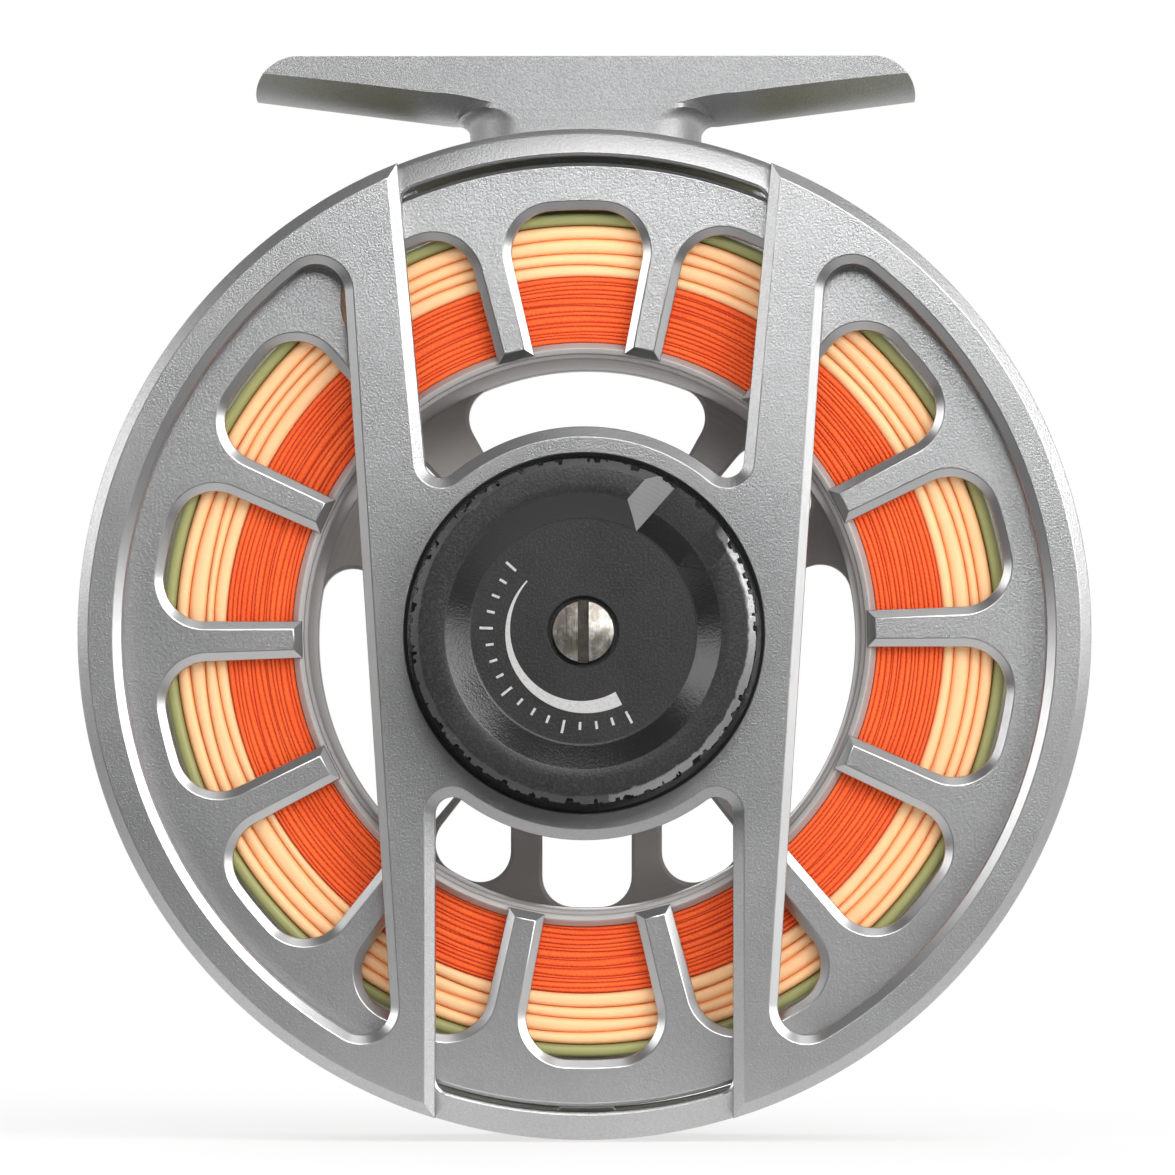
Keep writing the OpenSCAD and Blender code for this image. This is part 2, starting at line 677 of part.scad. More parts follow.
// Two bushings pressed into the handle.
module handle_bushings() {
  reel() color("goldenrod") rotate(-90) translate([handle_at, 0, 0]) {
    tube(post_r + 1.1, post_r + run, handle_low - 4, handle_low);
    tube(post_r + 1.1, post_r + run, handle_end + 1.4, handle_end + 5.4);
  }
}
// Drag knob: fluted ring with a notch, recessed disc, pocket for the nut.
module drag_knob() {
  reel() color([0.2, 0.19, 0.2]) difference() {
    rod(knob_r, knob_low, knob_top);
    around(flutes, knob_r + flute_r * 0.45, 3) rod(flute_r, knob_low - over, knob_top + over, $fn = 24);
    translate([0, 0, disc_h]) cylinder(r1 = knob_disc, r2 = knob_ring + (knob_ring - knob_disc)
                                       * over / knob_dish, h = knob_dish + over);
    rotate(notch_at) translate([knob_disc - 1.5, 0, 0]) rotate([90, 0, 90])
      linear_extrude(height = knob_r)
        polygon([[-notch_w / 2, disc_h], [notch_w / 2, disc_h],
                 [notch_w / 2 + 2.7 * (1 + over / knob_dish), knob_top + over],
                 [-notch_w / 2 - 2.7 * (1 + over / knob_dish), knob_top + over]]);
    rod(screw_head_r + loose, head_h, knob_top + over);
    rod(screw_r + run, knob_low - over, knob_top);
    rod(pocket_r, knob_low - over, pocket_h);
    hex(nut_af + 0.1, pocket_h - 0.5, nut_top);
  }
}
// Hexagonal nut that the knob turns on the spindle's thread.
module drag_nut() {
  reel() color("goldenrod") difference() {
    hex(nut_af, nut_low, nut_top);
    rod(thread_r + run, nut_low - over, nut_top + over);
  }
}
// Washer between the nut and the springs.
module thrust_washer() {
  reel() color("silver") tube(pin_at, thread_r + 0.8, nut_low - 0.3, nut_low);
}
// Curved leaf under the knob that clicks over the ring.
module click_spring() {
  lo = plate_h + click_t + run;
  at = (click_in + click_out) / 2;
  reel() color("silver") {
    rotate(-60) rotate_extrude(angle = 170) translate([at - 0.6, lo]) square([1.2, 0.25]);
    for (a = [-57, 107]) rotate(a) translate([at, 0, 0]) rod(0.5, lo + 0.1, pocket_h);
  }
}

frame();
reel_foot();
foot_screws();
spindle();
knob_screw();
drag_cover();
cover_screws();
cover_seal();
shaft_seal();
click_ring();
pressure_pins();
pressure_plate();
drag_springs();
stator_disc();
bearing_inner_races();
spindle_nut();
drag_rotor();
carbon_disc_rear();
carbon_disc_front();
clutch_cup();
clutch_rollers();
drive_hub();
bearing_outer_races();
bearing_balls();
bearing_spacer();
spool();
spool_cap();
cap_screws();
retaining_ring();
counterweight();
counterweight_screw();
handle_post();
backing();
running_line();
line_head();
handle_knob();
handle_bushings();
drag_knob();
drag_nut();
thrust_washer();
click_spring();
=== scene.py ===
import math

import bmesh
import bpy
import numpy as np
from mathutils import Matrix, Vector
from mathutils.geometry import tessellate_polygon


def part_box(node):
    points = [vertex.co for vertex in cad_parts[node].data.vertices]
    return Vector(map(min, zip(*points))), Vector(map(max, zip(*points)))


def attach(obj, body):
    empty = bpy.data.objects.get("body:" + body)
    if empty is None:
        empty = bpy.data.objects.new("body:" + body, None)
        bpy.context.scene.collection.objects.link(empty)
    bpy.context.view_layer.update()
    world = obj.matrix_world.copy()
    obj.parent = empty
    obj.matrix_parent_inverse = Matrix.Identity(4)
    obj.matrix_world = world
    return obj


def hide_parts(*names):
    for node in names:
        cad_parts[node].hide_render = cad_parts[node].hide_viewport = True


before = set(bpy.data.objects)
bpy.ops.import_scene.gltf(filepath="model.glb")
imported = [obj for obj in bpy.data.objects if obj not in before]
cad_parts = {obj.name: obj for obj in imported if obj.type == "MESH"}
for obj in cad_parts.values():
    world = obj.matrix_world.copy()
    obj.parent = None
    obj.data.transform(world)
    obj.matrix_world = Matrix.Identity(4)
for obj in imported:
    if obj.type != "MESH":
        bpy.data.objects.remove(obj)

bl_info = {
    "name": "Fly reel",
    "version": (1, 0, 0),
    "blender": (4, 5, 0),
    "location": "View3D > Sidebar > Reel",
    "description": "Builds the finished surfaces of a fly reel around its solid model",
    "category": "Object",
}

MM = 0.001
# Vertices closer than this, in metres, are one.
JOIN = 1e-7
# Added to a face's finish number while a mesh is built, where the face is a flat one.
FLAT = 64
# Points round the largest circles, and round most others.
LARGE, ROUND = 480, 240
# The finished surfaces stay this far inside the solid model, in millimetres.
SKIN = 0.015
# Radii of the drag housing, the knob's seat and the hole for the spindle.
HOUSING_IN, HOUSING, KNOB_SEAT, SPINDLE_HOLE = 15.4, 17.6, 14.6, 3.05
# A plate's bevel falls by this share of its width.
BEVEL_FALL = 0.62
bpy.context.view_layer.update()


def box_mm(node):
    """Lowest and highest corner of a node of the solid model, in millimetres."""
    lo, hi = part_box(node)
    return np.array(lo) / MM, np.array(hi) / MM


# Heights are measured from the middle of the foot towards the drag knob, radii from the
# spool's axis. Both come from the solid model's boxes.
LINE_LO, LINE_HI = box_mm("line_head")
AXIS_Z = (LINE_LO[2] + LINE_HI[2]) / 2
CAGE_LO, CAGE_HI = box_mm("frame")
CAGE_R = CAGE_HI[0]
PLATE_H = -CAGE_LO[1]
RING_FACE = -CAGE_HI[1]
SPOOL_LO, SPOOL_HI = box_mm("spool")
FLANGE_R = SPOOL_HI[0]
FLANGE_H = -SPOOL_LO[1]
SPOOL_FACE = -SPOOL_HI[1]
WIND_HI = -LINE_LO[1]
WIND_LO = -LINE_HI[1]
KNOB_LO, KNOB_HI = box_mm("drag_knob")
KNOB_R = KNOB_HI[0]
KNOB_TOP = -KNOB_LO[1]
KNOB_LOW = -KNOB_HI[1]
_, FOOT_HI = box_mm("reel_foot")
GRIP_LO, GRIP_HI = box_mm("handle_knob")


# ---------------------------------------------------------------- flat outlines

def polar(r, a):
    """Point at radius r and angle a in degrees; arrays give one point a row."""
    t = np.radians(a)
    return np.stack([r * np.cos(t), r * np.sin(t)], -1)


def arc(centre, r, a, b, step=4.0):
    """Points of an arc from angle a to angle b in degrees, one every step degrees or less."""
    n = max(2, int(math.ceil(abs(b - a) / step)) + 1)
    return np.asarray(centre) + polar(r, np.linspace(a, b, n))


def after(a, b):
    """Angle b, moved by whole turns so that it follows angle a within one turn."""
    return a + (b - a) % 360.0


def angle(v):
    """Direction of a vector in degrees."""
    return math.degrees(math.atan2(v[1], v[0]))


def turned(v, a):
    """A vector turned by an angle in degrees."""
    c, s = math.cos(math.radians(a)), math.sin(math.radians(a))
    return np.array([v[0] * c - v[1] * s, v[0] * s + v[1] * c])


def seat(normal, along, d, f, rho):
    """Centre of a fillet of radius f: it lies d + f from the axis across a straight side
    with this unit normal, and rho from the axis, so it is (d + f) n + sqrt(rho^2 - (d + f)^2) u."""
    return (d + f) * normal + math.sqrt(rho * rho - (d + f) ** 2) * along


def sector(n1, d1, n2, d2, r1, r2, f1, f2, step=1.5):
    """Closed outline, counter-clockwise, between two straight sides and two arcs about the
    axis. Each side is n.p = d with n pointing inside; fillets f1 and f2 round the corners."""
    u1, u2 = turned(n1, -90), turned(n2, 90)
    c1, c2 = seat(n1, u1, d1, f2, r2 - f2), seat(n2, u2, d2, f2, r2 - f2)
    c3, c4 = seat(n2, u2, d2, f1, r1 + f1), seat(n1, u1, d1, f1, r1 + f1)
    a1, a2, a3, a4 = angle(c1), angle(c2), angle(c3), angle(c4)
    o = angle(-n1)
    parts = [arc(c1, f2, o, after(o, a1), 9), arc((0, 0), r2, a1, after(a1, a2), step)[1:-1],
             arc(c2, f2, a2, after(a2, angle(-n2)), 9),
             arc(c3, f1, angle(-n2), after(angle(-n2), a3 + 180), 9),
             arc((0, 0), r1, after(a4, a3), a4, step)[1:-1],
             arc(c4, f1, a4 + 180, after(a4 + 180, o), 9)]
    return np.concatenate(parts)


def segment(normal, d, r, f, step=1.5):
    """Closed outline, counter-clockwise, between a straight side and the ring's edge."""
    c1 = seat(normal, turned(normal, -90), d, f, r - f)
    c2 = seat(normal, turned(normal, 90), d, f, r - f)
    o, a1, a2 = angle(-normal), angle(c1), angle(c2)
    return np.concatenate([arc(c1, f, o, after(o, a1), 9),
                           arc((0, 0), r, a1, after(a1, a2), step)[1:-1],
                           arc(c2, f, a2, after(a2, o), 9)])


def circle(r, n=ROUND, centre=(0.0, 0.0)):
    """Closed circle, counter-clockwise, with n points."""
    return np.asarray(centre) + polar(r, np.arange(n) * 360.0 / n)


def inset(loop, d):
    """Moves a closed outline by d to the left of its direction, with mitred corners."""
    e = np.roll(loop, -1, 0) - loop
    e = e / np.maximum(np.linalg.norm(e, axis=1, keepdims=True), 1e-9)
    n = np.stack([-e[:, 1], e[:, 0]], 1)
    m = n + np.roll(n, 1, 0)
    return loop + d * m / np.maximum((m * m).sum(1, keepdims=True) / 2, 0.35)


# ---------------------------------------------------------------- meshes

class Shell:
    """Gathers vertices and faces with a finish number, in the reel's drawing frame: x to
    the right, y up from the spool's axis and h towards the knob."""

    def __init__(self):
        self.points, self.faces, self.finish, self.uvs, self.flats = [], [], [], [], []
        self.count = 0

    def add(self, points, faces, finish=0, uv=None, flat=0):
        """Adds points (n, 3) and faces (m, 3) or (m, 4) that index them. Flat faces meet
        all others in a sharp edge."""
        points, faces = np.asarray(points, float), np.asarray(faces, int)
        if faces.shape[1] == 3:
            faces = np.concatenate([faces, np.full((len(faces), 1), -1)], 1)
        self.points.append(points)
        self.faces.append(np.where(faces < 0, -1, faces + self.count))
        self.finish.append(np.broadcast_to(np.asarray(finish), (len(faces),)))
        self.flats.append(np.full(len(faces), flat))
        self.uvs.append(np.zeros((len(points), 2)) if uv is None else uv)
        self.count += len(points)

    def grid(self, points, finish=0, closed_u=True, closed_v=True, uv=None):
        """Adds a grid of points (rows, columns, 3) as quads, joined end to end where closed."""
        nu, nv = points.shape[:2]
        i = np.arange(nu if closed_u else nu - 1)
        j = np.arange(nv if closed_v else nv - 1)
        ii, jj = np.meshgrid(i, j, indexing="ij")
        i2, j2 = (ii + 1) % nu, (jj + 1) % nv
        quads = np.stack([ii * nv + jj, i2 * nv + jj, i2 * nv + j2, ii * nv + j2], -1)
        finish = np.broadcast_to(np.asarray(finish), quads.shape[:2]).reshape(-1)
        self.add(points.reshape(-1, 3), quads.reshape(-1, 4), finish,
                 None if uv is None else uv.reshape(-1, 2))

    def build(self, name, materials, smooth=32.0):
        """Makes the object: drawing frame (x, y, h) becomes world (x, -h, y + axis)."""
        p = np.concatenate(self.points)
        p = np.stack([p[:, 0], -p[:, 2], p[:, 1] + AXIS_Z], 1)
        f, fin = np.concatenate(self.faces), np.concatenate(self.finish)
        uv = np.concatenate(self.uvs)
        size = np.where(f[:, 3] < 0, 3, 4)
        flat = f[f >= 0]
        me = bpy.data.meshes.new(name)
        me.vertices.add(len(p))
        me.vertices.foreach_set("co", (p * MM).astype(np.float32).ravel())
        me.loops.add(len(flat))
        me.loops.foreach_set("vertex_index", flat.astype(np.int32))
        me.polygons.add(len(f))
        start = np.concatenate([[0], np.cumsum(size)[:-1]])
        me.polygons.foreach_set("loop_start", start.astype(np.int32))
        code = fin + FLAT * np.concatenate(self.flats)
        me.polygons.foreach_set("material_index", code.astype(np.int32))
        me.update(calc_edges=True)
        if uv.any():
            layer = me.uv_layers.new(name="strand")
            layer.data.foreach_set("uv", uv[flat].astype(np.float32).ravel())
        for m in materials:
            me.materials.append(m)
        weld(me)
        sharpen(me, smooth)
        ob = bpy.data.objects.new(name, me)
        bpy.context.scene.collection.objects.link(ob)
        return ob


def outward(bm):
    """Turns over each shell whose volume is negative: a third of the sum of centre .
    normal x area over its faces."""
    bm.normal_update()
    left = set(bm.faces)
    for first in list(bm.faces):
        if first not in left:
            continue
        left.discard(first)
        shell, stack = [first], [first]
        while stack:
            for e in stack.pop().edges:
                for f in e.link_faces:
                    if f in left:
                        left.discard(f)
                        shell.append(f)
                        stack.append(f)
        if sum(f.calc_center_median().dot(f.normal) * f.calc_area() for f in shell) < 0:
            bmesh.ops.reverse_faces(bm, faces=shell)


def weld(me):
    """Joins vertices that lie on one point and turns the faces of each closed shell
    outwards."""
    bm = bmesh.new()
    bm.from_mesh(me)
    bmesh.ops.remove_doubles(bm, verts=bm.verts, dist=JOIN)
    bmesh.ops.dissolve_degenerate(bm, edges=bm.edges, dist=JOIN)
    bmesh.ops.recalc_face_normals(bm, faces=bm.faces)
    outward(bm)
    bm.to_mesh(me)
    bm.free()


def read(items, key, kind=np.int32, width=1):
    """One property of many faces, edges or loops as an array, a row for each."""
    out = np.empty(len(items) * width, kind)
    items.foreach_get(key, out)
    return out.reshape(-1, width) if width > 1 else out


def sharpen(me, smooth):
    """Smooth shading, with sharp edges over an angle and around the flat faces."""
    code = read(me.polygons, "material_index")
    me.polygons.foreach_set("material_index", code % FLAT)
    me.shade_smooth()
    me.set_sharp_from_angle(angle=math.radians(smooth))
    edge = read(me.loops, "edge_index")
    flag = np.repeat(code // FLAT, read(me.polygons, "loop_total"))
    lo, hi = np.full(len(me.edges), 2), np.zeros(len(me.edges), int)
    np.minimum.at(lo, edge, flag)
    np.maximum.at(hi, edge, flag)
    sharp = read(me.edges, "use_edge_sharp", bool)
    me.edges.foreach_set("use_edge_sharp", sharp | (lo != hi))


def lathe(shell, profile, n=ROUND, finish=0, centre=(0.0, 0.0)):
    """Turns a closed profile of (radius, height) rows about the axis through centre. The
    point at angle t is (r cos t, r sin t, h); the profile runs counter-clockwise with
    the radius to the right and the height up. A profile that starts and ends on the
    axis closes there."""
    profile = np.asarray(profile, float)
    c = polar(1.0, np.linspace(0.0, 360.0, n + 1)[:-1])
    pts = np.empty((n, len(profile), 3))
    pts[..., :2] = np.asarray(centre) + profile[None, :, :1] * c[:, None, :]
    pts[..., 2] = profile[None, :, 1]
    shell.grid(pts, finish, closed_v=max(profile[0, 0], profile[-1, 0]) > 1e-6)


def soft(points, radii, step=22.5):
    """Rounds the corners of a closed (radius, height) polygon with arcs that touch both
    sides: the arc's centre lies on the bisector, r / sin(half angle) from the corner."""
    p = np.asarray(points, float)
    radii = np.broadcast_to(np.asarray(radii, float), (len(p),))
    out = []
    for k in range(len(p)):
        a, b, c = p[k - 1], p[k], p[(k + 1) % len(p)]
        r = radii[k]
        u, v = (a - b) / np.linalg.norm(a - b), (c - b) / np.linalg.norm(c - b)
        half = math.acos(float(np.clip(u @ v, -1, 1))) / 2
        if r <= 0 or half > math.radians(88):
            out.append(b[None])
            continue
        shorter = min(np.linalg.norm(a - b), np.linalg.norm(c - b))
        reach = min(r / math.tan(half), 0.49 * shorter)
        r = reach * math.tan(half)
        w = (u + v) / np.linalg.norm(u + v)
        centre = b + w * r / math.sin(half)
        s, e = angle(b + u * reach - centre), angle(b + v * reach - centre)
        sweep = (e - s + 180) % 360 - 180
        n = max(2, int(math.ceil(abs(sweep) / step)) + 1)
        out.append(centre + polar(r, np.linspace(s, s + sweep, n)))
    return np.concatenate(out)


def at_height(loop, h):
    """Points of a flat outline at height h."""
    return np.concatenate([loop, np.full((len(loop), 1), h)], 1)


def cap(shell, loops, h, finish=0, flip=False):
    """Fills flat outlines, the first outside and the rest holes, at height h."""
    flat = [np.asarray(l, float) for l in loops]
    tris = np.array(tessellate_polygon([[Vector((q[0], q[1], 0.0)) for q in l] for l in flat]))
    p = np.concatenate(flat)
    a, b, c = p[tris[:, 0]], p[tris[:, 1]], p[tris[:, 2]]
    area = (b[:, 0] - a[:, 0]) * (c[:, 1] - a[:, 1]) - (c[:, 0] - a[:, 0]) * (b[:, 1] - a[:, 1])
    tris = tris[np.abs(area) > 1e-12]
    area = area[np.abs(area) > 1e-12]
    swap = (area < 0) != flip
    tris[swap] = tris[swap][:, ::-1]
    shell.add(at_height(p, h), tris, finish, flat=1)


def each(value, count):
    """A value for each outline: the list itself, or one value for all."""
    return value if np.ndim(value) else [value] * count


def plate(shell, loops, top, low, edge=0.85, edge_low=0.3, face=0, bevel=1, wall=2, soft_r=0.07):
    """A flat plate with bevelled edges. The outside outline runs counter-clockwise and
    holes clockwise, so the material is on the left; each outline is carried down a
    profile of (inset, height) rows with a small round where the bevel meets the face."""
    f = BEVEL_FALL
    tops, bottoms = [], []
    n = len(loops)
    for loop, e, el, b in zip(loops, each(edge, n), each(edge_low, n), each(bevel, n)):
        s = min(soft_r, e * 0.4)
        rows = [(e + s, top, b), (e + s * 0.3, top - s * 0.1 * f, b),
                (e - s * 0.6, top - s * 0.6 * f, b), (e - s * 0.9, top - s * 0.9 * f, b),
                (s * 0.9, top - (e - s * 0.9) * f, b), (s * 0.6, top - (e - s * 0.6) * f, b),
                (s * 0.1, top - e * f - s * 0.3, wall), (0.0, top - e * f - s, wall),
                (0.0, top - e * f - s * 1.5, wall), (0.0, low + el, b), (el, low, b)]
        pts = np.stack([at_height(inset(loop, d), h) for d, h, _ in rows], 1)
        shell.grid(pts[:, ::-1], np.array([m for _, _, m in rows[:-1]])[::-1][None, :],
                   closed_v=False)
        tops.append(pts[:, 0, :2])
        bottoms.append(pts[:, -1, :2])
    cap(shell, tops, top, face)
    cap(shell, bottoms, low, face, flip=True)


# ---------------------------------------------------------------- shaders

def toned(colour, k):
    """A colour made lighter or darker by a factor."""
    return tuple(min(1.0, c * k) for c in colour)


class Sock:
    """A shader value: + - * / and comparisons on it add Math nodes."""

    def __init__(self, shader, out):
        self.shader, self.out = shader, out

    def _do(self, op, *args):
        return self.shader.node("ShaderNodeMath", {"operation": op}, *args)

    def __add__(self, o): return self._do("ADD", self, o)
    __radd__ = __add__
    def __sub__(self, o): return self._do("SUBTRACT", self, o)
    def __rsub__(self, o): return self._do("SUBTRACT", o, self)
    def __mul__(self, o): return self._do("MULTIPLY", self, o)
    __rmul__ = __mul__
    def __truediv__(self, o): return self._do("DIVIDE", self, o)
    def __lt__(self, o): return self._do("LESS_THAN", self, o)
    def call(self, op, *args): return self._do(op, self, *args)


class Shader:
    """The node tree of a material or a world, with one method that adds any node."""

    def __init__(self, owner, output="ShaderNodeOutputMaterial"):
        owner.use_nodes = True
        self.owner, self.tree = owner, owner.node_tree
        self.tree.nodes.clear()
        self.result = self.tree.nodes.new(output)

    def end(self, shader):
        """Links the last shader to the output and gives the material or world back."""
        self.tree.links.new(shader.out, self.result.inputs[0])
        return self.owner

    def node(self, kind, settings=None, *inputs, out=0, **named):
        """Adds a node: its settings first, then values or links by place or by name."""
        n = self.tree.nodes.new(kind)
        for k, v in (settings or {}).items():
            setattr(n, k, v)
        for k, v in list(enumerate(inputs)) + list(named.items()):
            sock = n.inputs[k if isinstance(k, int) else k.replace("_", " ")]
            if isinstance(v, Sock):
                self.tree.links.new(v.out, sock)
            else:
                sock.default_value = v
        return Sock(self, n.outputs[out])

    def place(self):
        """Object coordinates in metres."""
        return self.node("ShaderNodeTexCoord", None, out=3)

    def parts(self, vec):
        """The three components of a vector."""
        n = self.node("ShaderNodeSeparateXYZ", None, vec)
        return [Sock(self, n.out.node.outputs[i]) for i in range(3)]

    def axial(self):
        """The place's x and y, its height over the spool's axis and its distance from
        that axis, in metres."""
        x, y, z = self.parts(self.place())
        z = z - AXIS_Z * MM
        return x, y, z, (x * x + z * z).call("SQRT")

    def noise(self, vec, scale, detail=3.0, rough=0.55):
        """Fractal noise, 0 to 1."""
        return self.node("ShaderNodeTexNoise", {"noise_dimensions": "3D"}, Vector=vec,
                         Scale=scale, Detail=detail, Roughness=rough)

    def stretch(self, vec, scale):
        """A vector with its components scaled."""
        return self.node("ShaderNodeMapping", None, vec, Scale=scale)

    def ramp(self, fac, lo, hi):
        """0 below lo, 1 above hi, straight between."""
        return self.node("ShaderNodeMapRange", {"clamp": True}, Value=fac, From_Min=lo,
                         From_Max=hi)

    def mix(self, fac, a, b):
        """Colour between a and b."""
        n = self.tree.nodes.new("ShaderNodeMix")
        n.data_type = "RGBA"
        for k, v in ((0, fac), (6, a), (7, b)):
            if isinstance(v, Sock):
                self.tree.links.new(v.out, n.inputs[k])
            else:
                n.inputs[k].default_value = (*v, 1.0) if isinstance(v, tuple) else v
        return Sock(self, n.outputs[2])

    def strand(self):
        """The winding's own map, its two parts and how far across its strand a place lies:
        0 on the strand's crest, 1 between two strands."""
        uv = self.node("ShaderNodeUVMap", {"uv_map": "strand"})
        u, v, _ = self.parts(uv)
        return uv, u, v, (v - v.call("FLOOR") - 0.5).call("ABSOLUTE") * 2.0

    def bump(self, height, distance, strength):
        """A bump of the given height in metres."""
        return self.node("ShaderNodeBump", None, Strength=strength, Distance=distance,
                         Height=height)

    def rays(self):
        """Whether a ray comes from the camera, and whether off or through a surface."""
        outputs = self.node("ShaderNodeLightPath").out.node.outputs
        seen, gloss, through = (Sock(self, outputs["Is %s Ray" % k])
                                for k in ("Camera", "Glossy", "Transmission"))
        return seen, gloss.call("MAXIMUM", through)

    def principled(self, **inputs):
        """Ends the material in a Principled shader."""
        for k, v in list(inputs.items()):
            if k in ("Base_Color", "Emission_Color") and isinstance(v, tuple) and len(v) == 3:
                inputs[k] = (*v, 1.0)
        return self.end(self.node("ShaderNodeBsdfPrincipled", None, **inputs))


MATERIALS = {}
# Between these radii in millimetres the painted shade around the knob fades out.
KNOB_SHADE_RADII = (17.0, 27.0)


def finish(name, make):
    """Makes a material once."""
    if name not in MATERIALS:
        MATERIALS[name] = make(Shader(bpy.data.materials.new(name)))
    return MATERIALS[name]


def blasted(colour, rough, grain=1.0, tint=0.06):
    """Bead-blasted, anodised aluminium: fine pits, faint clouding, a few scuffed specks,
    and painted shade that darkens it around the knob."""
    def make(s):
        p = s.place()
        fine = s.noise(p, 5200.0, 2.0, 0.6)
        # Painted shade: the colour darkens towards the knob, inside these radii.
        knob_shade = 1.0 - s.ramp(s.axial()[3] / MM, *KNOB_SHADE_RADII)
        cloud = s.noise(p, 60.0, 3.0)
        rub = s.ramp(s.noise(p, 420.0, 5.0, 0.7), 0.66, 0.74)
        tone = s.mix(s.ramp(cloud, 0.3, 0.7), toned(colour, 1 - tint), toned(colour, 1 + tint))
        tone = s.mix(s.ramp(fine, 0.36, 0.64) * 0.24, tone, toned(colour, 0.5))
        tone = s.mix(rub * 0.12, tone, (0.9, 0.9, 0.9))
        r = rough + (fine - 0.5) * 0.12 + (cloud - 0.5) * 0.06
        # Painted shade: near the knob the colour goes half-way to half its brightness.
        tone = s.mix(knob_shade * 0.5, tone, toned(colour, 0.5))
        n = s.bump(fine, 0.00004 * grain, 0.6)
        return s.principled(Base_Color=tone, Metallic=1.0, Roughness=r, Normal=n)
    return make


def cut_edge(colour, rough):
    """Machine-cut bevel: bright, with faint cutter lines."""
    def make(s):
        p = s.place()
        lines = s.noise(s.stretch(p, (1.0, 12.0, 1.0)), 900.0, 2.0)
        cloud = s.noise(p, 160.0, 3.0)
        tone = s.mix(s.ramp(cloud, 0.3, 0.7), toned(colour, 0.93), colour)
        return s.principled(Base_Color=tone, Metallic=1.0,
                            Roughness=rough + (lines - 0.5) * 0.1,
                            Normal=s.bump(lines, 0.000012, 0.3))
    return make


def turned_metal(colour, rough, rings=26000.0):
    """Metal turned on a lathe: fine rings about the spool's axis and a few scratches."""
    def make(s):
        ring = (s.axial()[3] * rings).call("SINE")
        cloud = s.noise(s.place(), 300.0, 4.0)
        tone = s.mix(s.ramp(cloud, 0.3, 0.75), toned(colour, 0.88), colour)
        return s.principled(Base_Color=tone, Metallic=1.0,
                            Roughness=rough + (cloud - 0.5) * 0.16,
                            Normal=s.bump(ring + cloud, 0.000006, 0.5))
    return make


def scratched_steel(s):
    """Stainless steel with scratches across it, and painted shade in the lower part of its slot."""
    p = s.place()
    hair = s.noise(s.stretch(p, (9.0, 1.0, 1.0)), 700.0, 4.0, 0.7)
    spots = s.noise(p, 700.0, 4.0, 0.65)
    tone = s.mix(s.ramp(spots, 0.42, 0.62), (0.30, 0.27, 0.23), (0.60, 0.59, 0.56))
    x, y, _ = s.parts(p)
    # Painted shade: the slot's floor and lower walls are darkened.
    deep = s.ramp(y * -1.0 / MM, KNOB_TOP - 1.62, KNOB_TOP - 1.5)
    slot = (x * x).call("SQRT") / MM < 0.56
    tone = s.mix(slot * (1.0 - deep) * 0.85, tone, (0.06, 0.05, 0.04))
    return s.principled(Base_Color=tone, Metallic=1.0,
                        Roughness=0.3 + s.ramp(hair, 0.35, 0.7) * 0.22,
                        Normal=s.bump(hair + spots * 0.5, 0.00003, 0.6))


def black_anodised(s):
    """Black anodised knob: fine grain, dust, bare metal chipped along the outer edge, heaviest on
    the lower right as a painted highlight, and a painted reflection lightening the outer bevel.
    """
    p = s.place()
    x, y, z, r = s.axial()
    r = r / MM
    grain = s.noise(p, 4200.0, 2.0)
    dust = s.ramp(s.noise(p, 1500.0, 5.0, 0.75), 0.7, 0.78)
    cloud = s.noise(p, 140.0, 4.0)
    chips = s.noise(p, 760.0, 4.0, 0.65)
    # Painted highlight: the lower right, where the bevel catches the light, gets most of the bare
    # metal.
    side = s.ramp(x * 0.94 - z * 0.34, 0.006, 0.013)
    edge = s.ramp(r + (chips - 0.5) * 0.8, KNOB_R - 1.0, KNOB_R - 0.8)
    high = s.ramp(y * -1.0 / MM, KNOB_TOP - 1.2, KNOB_TOP - 0.7)
    chips_and_glint = edge * high * s.ramp(chips + side * 0.4, 0.62, 0.68) * (0.12 + side * 0.88)
    slant = s.ramp(r, 10.5, 10.8) * (1.0 - s.ramp(r, 12.9, 13.1))
    tone = s.mix(s.ramp(cloud, 0.3, 0.7), (0.011, 0.0105, 0.011), (0.018, 0.017, 0.018))
    tone = s.mix(s.ramp(grain, 0.45, 0.75) * 0.5, tone, (0.045, 0.044, 0.044))
    tone = s.mix(dust * 0.3, tone, (0.2, 0.2, 0.19))
    # Painted reflection: the band round the outer bevel is lighter all the way round.
    tone = s.mix(edge * high * 0.6, tone, (0.055, 0.055, 0.055))
    tone = s.mix(slant * 0.9, tone, (0.075, 0.075, 0.075))
    tone = s.mix(chips_and_glint, tone, (0.34, 0.34, 0.34))
    rough = 0.38 + (grain - 0.5) * 0.12 + (cloud - 0.5) * 0.08 - slant * 0.14
    return s.principled(Base_Color=tone, Metallic=(chips_and_glint + slant) * 0.9, Roughness=rough,
                        Specular_IOR_Level=0.5,
                        Normal=s.bump(grain + chips_and_glint * -1.0, 0.00004, 0.6))


def black_flutes(s):
    """Deep black of the knob's fluted side, duller than its face."""
    grain = s.noise(s.place(), 3800.0, 3.0)
    tone = s.mix(s.ramp(grain, 0.3, 0.7), (0.005, 0.005, 0.005), (0.010, 0.010, 0.010))
    return s.principled(Base_Color=tone, Roughness=0.62 + (grain - 0.5) * 0.2,
                        Specular_IOR_Level=0.2, Normal=s.bump(grain, 0.00002, 0.5))


def index_mark(s):
    """Bare silver of the index marks, with the grain of the disc."""
    grain = s.noise(s.place(), 3600.0, 3.0, 0.7)
    tone = s.mix(s.ramp(grain, 0.35, 0.65), (0.56, 0.555, 0.55), (0.68, 0.675, 0.67))
    return s.principled(Base_Color=tone, Metallic=0.75, Roughness=0.5,
                        Normal=s.bump(grain, 0.00002, 0.5))


